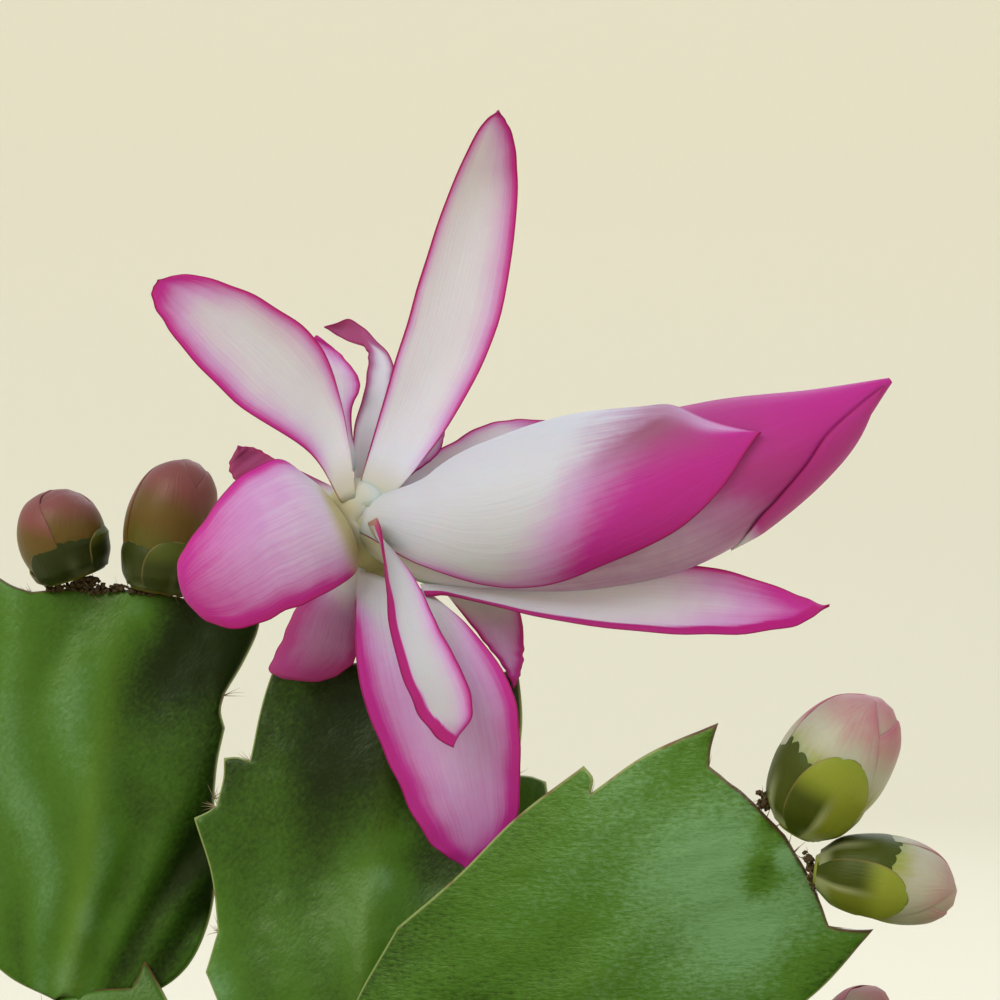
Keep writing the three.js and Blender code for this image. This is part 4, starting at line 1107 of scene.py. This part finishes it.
@dataclass
class Segment:
    """One flat stem segment: where the shares across and along it lie in the plant."""

    base: tuple
    tip: tuple
    face: tuple
    half_width: float
    left: tuple = TOOTHED
    right: tuple = TOOTHED
    bow: float = 1.5
    cup: float = 0
    thick: float = 1
    age: float = 0
    tone: float = 0
    shade_and_sheen: tuple = ()
    rib: float = 0.5
    pleat: float = 0.12
    wrinkles: float = 0
    seed: int = 1
    spacing: float = COARSE
    streaks: float = 0.3

    def __post_init__(self):
        self.base = np.asarray(self.base, float)
        reach = np.asarray(self.tip, float) - self.base
        self.length = np.linalg.norm(reach)
        self.along = reach / self.length
        self.side = unit(np.cross(self.along, np.asarray(self.face, float)))
        self.up = np.cross(self.side, self.along)

    def flat(self, across, share):
        """Millimetres across and along the blade."""
        return np.stack([across * self.half_width, share * self.length], axis=-1)

    def place(self, across, share, lift=0.0):
        """Points for arrays of shares, with the blade's bow, its waves and its pleats."""
        flat = self.flat(across, share)
        rise = self.bow * np.sin(np.pi * np.minimum(share, 1)) + self.cup * across**2
        away = clamp(share * 4)
        rise = rise + SWELL * away * ripple(flat, SWELL_LENGTH, self.seed)
        rise = rise + self.pleat * away * self.pleats(flat)
        rise = rise + GRAIN * ripple(flat, GRAIN_LENGTH, self.seed + 2)
        wrinkled = self.wrinkles * step_between(0.7, 0.86, share)
        rise = rise + wrinkled * ripple(flat, WRINKLE_LENGTH, self.seed + 4)
        return (
            self.base + flat[..., 1:] * self.along + flat[..., :1] * self.side
            + (rise + lift)[..., None] * self.up
        )

    def pleats(self, flat):
        """Folds that fan out from the neck, from -1 to 1."""
        fan = np.arctan2(flat[..., 0], flat[..., 1] + PLEAT_ORIGIN * self.length)
        return np.cos(fan * PLEATS + ripple(flat, 30, self.seed + 1) * PLEAT_BEND)

    def tones(self, across, share):
        """How light the green is, from -1 to 1: own tone, painted shade and sheen, painted fold shading."""
        flat = self.flat(across, share)
        # The pleats carry painted shading, paler on their crests and darker in their troughs
        tone = self.tone + 0.15 * ripple(flat, 16, self.seed + 3) + 0.7 * self.pleat * self.pleats(flat)
        # Spots of painted shade and painted sheen, with some of the green's own unevenness
        for patch_across, patch_share, reach, amount in self.shade_and_sheen:
            middle = (patch_across * self.half_width, patch_share * self.length)
            gap = np.linalg.norm(flat - middle, axis=-1)
            tone = tone + amount * np.exp(-((gap / reach) ** 2))
        return tone

    def add_to(self, shell, bristles):
        points, faces, gaps, areoles = segment_pattern(
            self.left, self.right, self.half_width, self.length, self.spacing
        )
        across, share = points.T
        thickness = self.thickness(across, share, gaps)
        upper = self.place(across, share, thickness / 2)
        lower = self.place(across, share, -thickness / 2)
        count = len(points)
        rim = gaps < 1e-4
        under = np.where(rim, np.arange(count), count + np.arange(count))
        flipped = [tuple(under[list(face)][::-1]) for face in faces]
        values = dict(
            edge=gaps,
            age=clamp(self.age + 0.7 * np.exp(-share * self.length / WOODY_NECK)),
            rib=self.rib * np.exp(-((across * self.half_width / RIB_LINE) ** 2)) * clamp(1.1 - share),
            tone=self.tones(across, share),
            apex=step_between(0.88, 0.97, share),
            across=across * self.half_width,
            along=share * self.length,
            streaked=self.streaks * np.ones_like(share),
        )
        shell.add(
            np.vstack([upper, lower]), [*faces, *flipped],
            **{key: np.tile(value, 2) for key, value in values.items()},
        )
        for areole in [*areoles, (0, 0.98)]:
            bristles.append((self, areole))

    def thickness(self, across, share, gaps):
        """Thick down the rib, thin by the margins and rounded off at them."""
        rib = smooth(RIB_STATIONS, RIB_THICKNESS, clamp(share)) * self.thick
        flat = MARGIN_THICKNESS + 0.35 * (rib - MARGIN_THICKNESS) * clamp(1 - np.abs(across)) ** 0.8
        keel = 0.65 * (rib - MARGIN_THICKNESS) * np.exp(-((across * self.half_width / KEEL_WIDTH) ** 2))
        rounding = np.sqrt(1 - (1 - clamp(gaps / RIM_ROUND)) ** 2)
        return (flat + keel) * rounding


def grow_mound(plan, stem, level, base, heading, tilt, seed):
    """Segments of a mound stem from one level outwards, forking once."""
    form = plan["form"]

    def vary(size, spread, step):
        return size * (1 + spread * (draw(seed + step) - 0.5))

    lean = plan["lift"] * min(level, 2) + tilt + PITCH_SPREAD * (draw(seed) - 0.5)
    pitch = form["pitches"][level] + lean
    tip = base + direction(heading, pitch) * vary(form["lengths"][level], 0.14, 1)
    outline = PLAIN if level == 0 else TOOTHED
    stem["segments"].append(Segment(
        base, tip, upper_face(heading, pitch, plan["roll"] * (1 + level)),
        vary(form["half_widths"][level], 0.12, 2), outline, outline, vary(ARCH_BOW, 0.6, 3),
        CUP_SPREAD * (draw(seed + 4) - 0.5), OLD_THICKNESS if level == 0 else 1,
        age=OLD_AGE if level == 0 else 0, tone=0.25 * level * draw(seed + 6) - 0.15, seed=seed,
    ))
    if level == len(form["pitches"]) - 1:
        stem["ends"].append((tip, heading, pitch, seed))
        return
    wander = TURN_SPREAD * (draw(seed + 5) - 0.5)
    turns = [-form["fork"], form["fork"]] if level + 1 == FORK_LEVEL else [wander]
    for i, turn in enumerate(turns):
        following = tip - SINK * direction(heading, pitch)
        next_tilt = FORK_TILT * (1 - 2 * i) if len(turns) > 1 else tilt
        next_seed = seed + 7 * (i + 1) + 20 * level
        grow_mound(plan, stem, level + 1, following, heading + turn, next_tilt, next_seed)


def mound_stem(plan, index):
    angle = math.radians(plan["heading"])
    circle = plan["form"]["root_circle"]
    root = (circle * math.cos(angle), circle * math.sin(angle))
    stem = dict(root=root, segments=[], ends=[])
    grow_mound(plan, stem, 0, np.array([*root, FIRST_BASE]), plan["heading"], 0, 100 * (index + 1))
    return stem


# The upright stems. The one with the bloom has two segments, then one behind and one in front.
OLD_GROWTH = dict(left=PLAIN, right=PLAIN, thick=OLD_THICKNESS, age=OLD_AGE)
UPRIGHTS = {
    "stem_bloom": dict(root=(-4, -1), segments=[
        Segment((-4, -1, FIRST_BASE), (-8, -1, 134), (0.6, -1, 0), 11, seed=11, **OLD_GROWTH),
        Segment((-7.8, -1, 131.5), (-5.4, -3, 173.5), (-0.3, -1, 0), 13.5, seed=12),
        # The segment behind the bloom is darker all over, partly its own green and partly painted shade
        # from the bloom
        Segment(
            (-5.4, -2, 171.5), (-0.2, 6, 219.7), (-0.1, -1, 0.1), 17, BROAD_LEFT, BROAD_RIGHT,
            bow=-1, cup=1, tone=-0.4, shade_and_sheen=BACK_SHADE_AND_SHEEN, seed=13, spacing=FINE,
        ),
        Segment(
            (-5.6, -5, 171.2), (37.6, -18, 204.3), (0.2, -0.95, 0.2), 16.3, BROAD, BROAD,
            bow=2, cup=-1.5, shade_and_sheen=FRONT_SHADE_AND_SHEEN, rib=0.1, wrinkles=0.12, seed=14, spacing=FINE,
            streaks=1,
        ),
    ]),
    "stem_left": dict(root=(-19, 7), segments=[
        Segment((-19, 7, FIRST_BASE), (-22, 9, 143), (0.25, -1, 0), 11, seed=21, **OLD_GROWTH),
        Segment((-21.8, 9, 140), (-36.9, 18, 183), (-0.1, -1, 0.2), 13, seed=22),
        Segment(
            (-36, 18, 181.5), (-30.2, 20, 225.4), (0.05, -1, 0.05), 13.7, ROUND_LEFT, ROUND_RIGHT,
            bow=1.5, cup=-1, shade_and_sheen=LEFT_SHADE_AND_SHEEN, rib=1, pleat=0.3, seed=23, spacing=FINE,
        ),
    ]),
    "stem_right": dict(root=(15, 8), segments=[
        Segment((15, 8, FIRST_BASE), (23, 11, 133), (-0.5, -1, 0.1), 10.5, seed=31, **OLD_GROWTH),
        Segment((22.5, 11, 130.5), (45, 21, 170.5), (0.1, -1, 0.3), 12.5, seed=32),
    ]),
}


def make_stem(name, stem, material, bristles):
    shell = Shell()
    profile = np.array(TRUNK_PROFILE) * (TRUNK_RADIUS, 1)
    rings = lathe_rings(subdivided(profile, 1.2), TRUNK_SIDES)
    rings[..., :2] *= 1 - 0.05 * np.abs(ripple(rings * (1, 1, 0.4), 4, 7))[..., None]
    add_rings(shell, rings + (*stem["root"], 0), age=1.0, edge=INNER_EDGE)
    for segment in stem["segments"]:
        segment.add_to(shell, bristles)
    return shell.piece(f"{name}_segments", material, "segment", name)


def add_bristle(shell, start, way, length, radius, bend):
    """A fine tapering bristle with three sides."""
    shares = np.array([0, 0.4, 0.75, 1])
    spine = start + length * (shares[:, None] * way + (shares**2)[:, None] * bend)
    side = unit(np.cross(way, bend + (0.01, 0.02, 0.03)))
    other = np.cross(way, side)
    angles = full_turn(3)
    ring = np.cos(angles)[:, None] * side + np.sin(angles)[:, None] * other
    size = radius * (1 - 0.9 * shares)
    add_rings(shell, spine[:, None] + size[:, None, None] * ring)


def make_bristles(bristles, material):
    """Tufts of bristles in the areoles of every segment, and felt at the feet of the near buds."""
    shell = Shell()
    random = np.random.default_rng(3)
    for segment, (across, share) in bristles:
        apex = across == 0
        for _ in range(random.integers(*(CLOSE_TUFT if segment.spacing == FINE else FAR_TUFT))):
            shift = random.uniform(-0.2, 0.2) if apex else 0.0
            start = segment.place(np.array(across * 0.985 + shift), np.array(share * 0.995))
            outward = np.sign(across) * segment.side + 0.6 * segment.along if not apex else segment.along
            way = unit(outward + 0.5 * random.normal(size=3))
            length = random.uniform(*BRISTLE_LENGTHS)
            add_bristle(shell, start, way, length, BRISTLE_RADIUS, 0.2 * random.normal(size=3))
    for felt in FELTS:
        start, end = (np.array(place) for place in felt["ends"])
        for i in range(felt["lumps"] + felt["hairs"]):
            place = start + random.uniform(0, 1) * (end - start)
            place += random.uniform(-1, 1, 3) * felt["reach"]
            if i < felt["lumps"]:
                add_crumb(shell, place, random.uniform(*FELT_LUMPS), FELT_FLATNESS, random, felt=1.0)
                continue
            way = unit(random.normal(size=3) - (0, 0.5, 0))
            length = random.uniform(*FELT_HAIR_LENGTHS)
            add_bristle(shell, place, way, length, FELT_HAIR_RADIUS, 0.2 * random.normal(size=3))
    return shell.piece("areole_bristles", material, "segment")


# Bloom and buds


def blade_thickness(across, full):
    return full * (1 - 0.5 * across**2) * np.sqrt(1 - 0.96 * np.abs(across) ** 10)


def colouring(
    across, along, half, tip, margins, wash,
    bands=(0, 0), early=0.12, slant=0.0, halo=0.0, top_shade=0.0, dusky=0.0, shade=0.0,
):
    """The blush at each point, from the tip, the margins and the wash, and the folded bands."""
    blush = step_between(*tip, along + early * np.abs(across) + slant * across)
    blush = np.maximum(blush, halo * step_between(0.42, 0.85, along + 0.1 * across))
    # Painted shade on the pink: the tepal's own amount, plus more part way along by the left margin
    mauve = step_between(0.4, 0.65, along) * step_between(0.95, 0.75, along)
    dusky = dusky + top_shade * mauve * step_between(0.5, -0.3, across)
    band = np.zeros_like(blush)
    widening = 0.4 + 0.9 * along
    for side, soft, sharp in zip((-1, 1), margins, bands):
        inward = half * (1 - side * across)
        blush = np.maximum(blush, np.exp(-inward / (soft * widening + 0.05)))
        if sharp:
            width = sharp * (0.4 + 0.8 * along)
            band = np.maximum(band, step_between(1.15, 0.9, inward / width))
    blush = np.maximum(blush * step_between(0.03, 0.25, along), band)
    blush = clamp(blush + wash * step_between(0.08, 0.4, along))
    return dict(
        across=across, along=along, blush=blush, band=band, edge=half * (1 - np.abs(across)),
        dusky=dusky, shade=shade,
    )


def add_tepal(shell, left, right, end, belly, seed, bands=(0, 0), sallow=(0.6, 3, 8), **colours):
    """One spreading tepal between its two margins, rounded at its tip and sallow by the throat."""
    shares = TEPAL_REACH * (1 - (1 - even_shares(TEPAL_ROWS)) ** 1.4)
    along, across = shares[:, None], bunched(TEPAL_COLUMNS)
    first = curve_through([*left, end], shares) + BLOOM
    second = curve_through([*right, end], shares) + BLOOM
    chord = second - first
    ragged = RAGGED * step_between(0.2, 0.5, shares) / np.linalg.norm(chord, axis=1)
    first -= (ragged * ripple(along * TEPAL_LENGTH, 4, seed + 100))[:, None] * chord
    second += (ragged * ripple(along * TEPAL_LENGTH, 4, seed + 200))[:, None] * chord
    centre = (first + second) / 2
    chord = second - first
    half = 0.5 * np.linalg.norm(chord, axis=1, keepdims=True)
    side = unit(chord)
    face = unit(np.cross(side, np.gradient(centre, shares, axis=0)))
    rise = 2 * belly * half * (1 - across**2) * (0.3 + 0.7 * step_between(0, 0.15, along))
    for way, sharp in zip((-1, 1), bands):
        if sharp:
            inward = half * (1 - way * across)
            fold = clamp(1 - inward / (1.4 * sharp)) ** 2
            rise = rise + 0.7 * sharp * fold * step_between(0, 0.1, along)
    flat = np.stack([half * across, np.broadcast_to(along * TEPAL_LENGTH, rise.shape)], axis=-1)
    rise = rise + 0.2 * (1 - across**2) * ripple(flat, 12, seed) + 0.06 * ripple(flat, 5, seed + 1)
    middle = centre[:, None] + (half * across)[..., None] * side[:, None] + rise[..., None] * face[:, None]
    normal = unit(face[:, None] + (4 * belly * across)[None, :, None] * side[:, None])
    strength, near, far = sallow
    throat = strength * step_between(far, near, np.linalg.norm(middle - BLOOM - THROAT, axis=-1))
    values = colouring(across, along, half, bands=bands, **colours)
    add_sheet(shell, middle, normal, blade_thickness(across, TEPAL_THICKNESS), throat=throat, **values)


def add_wrap(shell, spindle, stretch, stations, left, right, lift, **colours):
    """A tepal wrapped round a spindle between two margins."""
    along, across = even_shares(WRAP_ROWS), bunched(WRAP_COLUMNS)
    shares = stretch[0] + (stretch[1] - stretch[0]) * along
    start = np.radians(smooth(stations, left, along))[:, None]
    end = np.radians(smooth(stations, right, along))[:, None]
    angles = start + (end - start) * (0.5 + 0.5 * across)
    along = along[:, None]
    points, out = spindle.at(shares, angles, lift * (1 - step_between(0.2, 0, along)))
    half = 0.5 * np.abs(end - start) * smooth(spindle.stations, spindle.radii, shares)[:, None] + 0.02
    throat = 0.25 * step_between(0.12, 0, along)
    values = colouring(across, along, half, **colours)
    add_sheet(shell, points, out, blade_thickness(across, TEPAL_THICKNESS), throat=throat, **values)


def add_heart(shell, heart):
    """The innermost tepals, closed to a point: grey white below and magenta towards the tip."""
    points, angles = heart.rings(100, 60)
    along = even_shares(len(points))[:, None]
    top = 0.5 + 0.5 * np.cos(angles)
    blush = 0.3 * step_between(0.15, 0.4, along) + step_between(0.48, 0.8, along + 0.12 * np.cos(angles))
    # Painted shade on the heart, most on its underside and some on its top, gone by the tip
    dusky = (0.3 * top**2 + 0.55 * (1 - top)) * step_between(0.9, 0.65, along)
    throat = (0.5 + 0.4 * np.sin(angles)) * step_between(0.25, 0, along)
    add_rings(
        shell, points, along=along, across=np.cos(angles / 2), blush=clamp(blush), dusky=dusky,
        throat=throat, edge=INNER_EDGE,
    )


def add_tube(shell, tube):
    """The short tube under the tepals, sallow low down and on its left."""
    points, _ = tube.rings(30, 32)
    beside, above = points[..., 0] - BLOOM[0], points[..., 2] - BLOOM[2]
    throat = np.maximum(step_between(3, -2, beside), step_between(-1, -4, above))
    add_rings(shell, points, throat=0.3 + 0.7 * throat, edge=INNER_EDGE)


def bloom_spindle(axis, radii, up):
    return Spindle(np.asarray(axis) + BLOOM, even_shares(len(radii)), radii, up)


def make_bloom(material):
    shell = Shell()
    heart = bloom_spindle(HEART_AXIS, HEART_RADII, (0, 0, 1))
    add_heart(shell, heart)
    for wrap in WRAPS:
        add_wrap(shell, heart, **wrap)
    add_tube(shell, bloom_spindle(TUBE_PATH, TUBE_RADII, (0, 1, 0)))
    for i, tepal in enumerate(TEPALS):
        add_tepal(shell, **tepal, seed=40 + 3 * i)
    return shell.piece("bloom_tepals", material, "tepal", "bloom")


def make_ovary(material):
    shell = Shell()
    add_rings(shell, bloom_spindle(OVARY_PATH, OVARY_RADII, (0, 1, 0)).rings(24, 32)[0])
    return shell.piece("ovary_flesh", material, "ovary", "ovary")


def make_bud(name, bud, material, fine):
    """A closed bud: wrapped tepals flushed towards the tip, and olive scales round its foot."""
    reach = unit(np.asarray(bud["axis"][-1], float) - bud["axis"][0])
    up = (0, 0, 1) if abs(reach[1]) > 0.9 else (0, 1, 0)
    radii = bud["radius"] * np.array(bud.get("shares", SLIM_FOOT))
    shape = Spindle(bud["axis"], BUD_STATIONS, radii, up)
    rows, columns = (40, 19) if fine else (20, 11)
    shell = Shell()
    along = even_shares(rows)[:, None]
    look = dict(rosy=along * bud["rosy"], along=along, deep=bud["deep"], edge=INNER_EDGE)
    add_rings(shell, shape.rings(rows, 2 * columns)[0], **look)
    for sheets, scale in ((BUD_TEPALS, 0.0), (BUD_SCALES, 1.0)):
        for sheet in sheets:
            add_bud_sheet(shell, shape, sheet, bud, scale, rows, columns)
    return shell.piece(f"{name}_scales", material, "bud", name)


def add_bud_sheet(shell, shape, sheet, bud, scale, rows, columns):
    """A tepal (scale 0) or a scale (1) wrapped round a bud, widest below and closing at its tip."""
    along, across = even_shares(rows)[:, None], bunched(columns)
    first, last = sheet["stretch"]
    if scale:
        last *= bud.get("clad", 1)
    spread = np.sqrt(1.02 - along**3.2) * math.radians(sheet["spread"])
    angles = math.radians(sheet["middle"] + bud["turn"]) + spread * across
    rise = (0.3 + 0.7 * step_between(0, 0.3, along)) * (1 - 0.6 * step_between(0.7, 1, along))
    height = sheet["lift"] * rise * (1 + 0.3 * np.abs(across) ** 4)
    points, out = shape.at(first + (last - first) * along[:, 0], angles, height)
    half = spread * bud["radius"]
    edge = np.minimum(half * (1 - np.abs(across)), (last - first) * BUD_LENGTH * (1 - along))
    flush = 0.1 + 1.1 * step_between(0.25, 1, along) + 0.2 * np.abs(across) ** 3
    left, right = bud["side_shades"]
    beside, beyond = sheet.get("paling", (0, 0))
    # Painted shade on a scale, set for each side of its keel and giving way further along
    dim = right + (left - right) * step_between(beside + 0.12, beside - 0.12, across)
    dim = sheet.get("dim", 0) * dim * step_between(beyond + 0.3, beyond, along)
    keel = np.exp(-((across * half / BUD_KEEL) ** 2)) * step_between(0.72, 0.2, along)
    keel = np.maximum(keel, step_between(0.2, 0.04, along) * step_between(-0.3, 0.1, across))
    add_sheet(
        shell, points, out, blade_thickness(across, BUD_THICKNESS), along=along, across=across,
        scale=scale, rosy=clamp(bud["rosy"] * sheet.get("rosy", 1) * flush), edge=edge,
        deep=bud["deep"], dim=dim, keel=scale * keel,
    )


def mound_buds(stems):
    """Buds on some ends of the mound, pointing on outwards and a little up."""
    buds = []
    for stem in stems:
        for tip, heading, pitch, seed in stem["ends"]:
            if draw(seed + 9) >= MOUND_BUD_SHARE:
                continue
            seat = tip + 0.25 * GAP * direction(heading, pitch)
            length = MOUND_BUD_LENGTH * (0.8 + 0.4 * draw(seed + 10))
            reach = length * direction(heading, pitch + MOUND_BUD_RISE)
            axis = [seat, seat + 0.5 * reach, seat + reach]
            radius = MOUND_BUD_RADIUS * (0.85 + 0.3 * draw(seed + 11))
            rosy, deep = 0.5 + 0.4 * draw(seed + 12), 0.3 + 0.4 * draw(seed + 13)
            look = dict(turn=360 * draw(seed), rosy=rosy, deep=deep, side_shades=(0.9, 0.5))
            buds.append(dict(axis=axis, radius=radius, **look))
    return buds


# Camera, lights and stage


def add_camera():
    data = bpy.data.cameras.new("camera")
    data.lens = CAMERA_LENS
    data.sensor_width = CAMERA_SENSOR
    data.clip_start = CAMERA_CLIP
    camera = place_in_scene("camera", data)
    camera.location = Vector(CAMERA_PLACE) * MM
    camera.rotation_euler = (math.pi / 2, 0, 0)
    bpy.context.scene.camera = camera


def add_softbox(name, place, aim, size, power, colour):
    data = bpy.data.lights.new(name, "AREA")
    data.shape = "DISK"
    data.size = size
    data.energy = power
    data.color = colour
    light = place_in_scene(name, data)
    light.location = place
    light.rotation_euler = (Vector(aim) - Vector(place)).to_track_quat("-Z", "Y").to_euler()
    light.visible_camera = False


def add_lights():
    """Soft light all round, a broad key from the upper left, weak fill and back, and a lit wall."""
    for name, softbox in SOFTBOXES.items():
        add_softbox(name, **softbox)
    world = bpy.data.worlds.new("studio")
    world.use_nodes = True
    background = world.node_tree.nodes["Background"]
    background.inputs["Color"].default_value = (*SKY_COLOUR, 1)
    background.inputs["Strength"].default_value = SKY_STRENGTH
    bpy.context.scene.world = world


def add_stage(material):
    """A round pale floor that curves up into a low wall all the way round."""
    bends = np.linspace(0, math.pi / 2, COVE_ROWS)
    cove = [(STAGE_RADIUS + STAGE_COVE * (math.sin(b) - 1), STAGE_COVE * (1 - math.cos(b))) for b in bends]
    rings = lathe_rings([(STAGE_RADIUS, STAGE_HEIGHT), *cove[::-1], (0.001, 0)], STAGE_SIDES)
    floor = mesh_object("stage", rings.reshape(-1, 3), ring_faces(*rings.shape[:2]), material)


def corners(box):
    return [list(corner) for corner in box]


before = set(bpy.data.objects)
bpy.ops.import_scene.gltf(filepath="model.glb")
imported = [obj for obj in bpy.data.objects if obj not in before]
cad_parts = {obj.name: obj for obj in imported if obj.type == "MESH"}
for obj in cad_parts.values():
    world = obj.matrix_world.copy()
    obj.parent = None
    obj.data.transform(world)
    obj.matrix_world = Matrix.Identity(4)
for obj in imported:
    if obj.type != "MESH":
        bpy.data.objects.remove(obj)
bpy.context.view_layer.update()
add_camera()
add_lights()
add_stage(stage_material())
bpy.context.scene.view_settings.view_transform = "Standard"

mound = [mound_stem(plan, i) for i, plan in enumerate(MOUND_STEMS)]
flesh = segment_material()
bristle_places = []
for stem_name, stem in UPRIGHTS.items():
    make_stem(stem_name, stem, flesh, bristle_places)
for number, stem in enumerate(mound):
    make_stem(f"stem_mound_{number + 1}", stem, flesh, bristle_places)
make_bristles(bristle_places, bristle_material())
make_bloom(tepal_material())
make_ovary(ovary_material())
bud_flesh = bud_material()
for bud_name, bud in BUDS.items():
    make_bud(bud_name, bud, bud_flesh, fine=True)
for number, bud in enumerate(mound_buds(mound)):
    make_bud(f"bud_mound_{number + 1}", bud, bud_flesh, fine=False)
make_pot(clay_material())
make_soil(soil_material(), [stem["root"] for stem in [*UPRIGHTS.values(), *mound]])
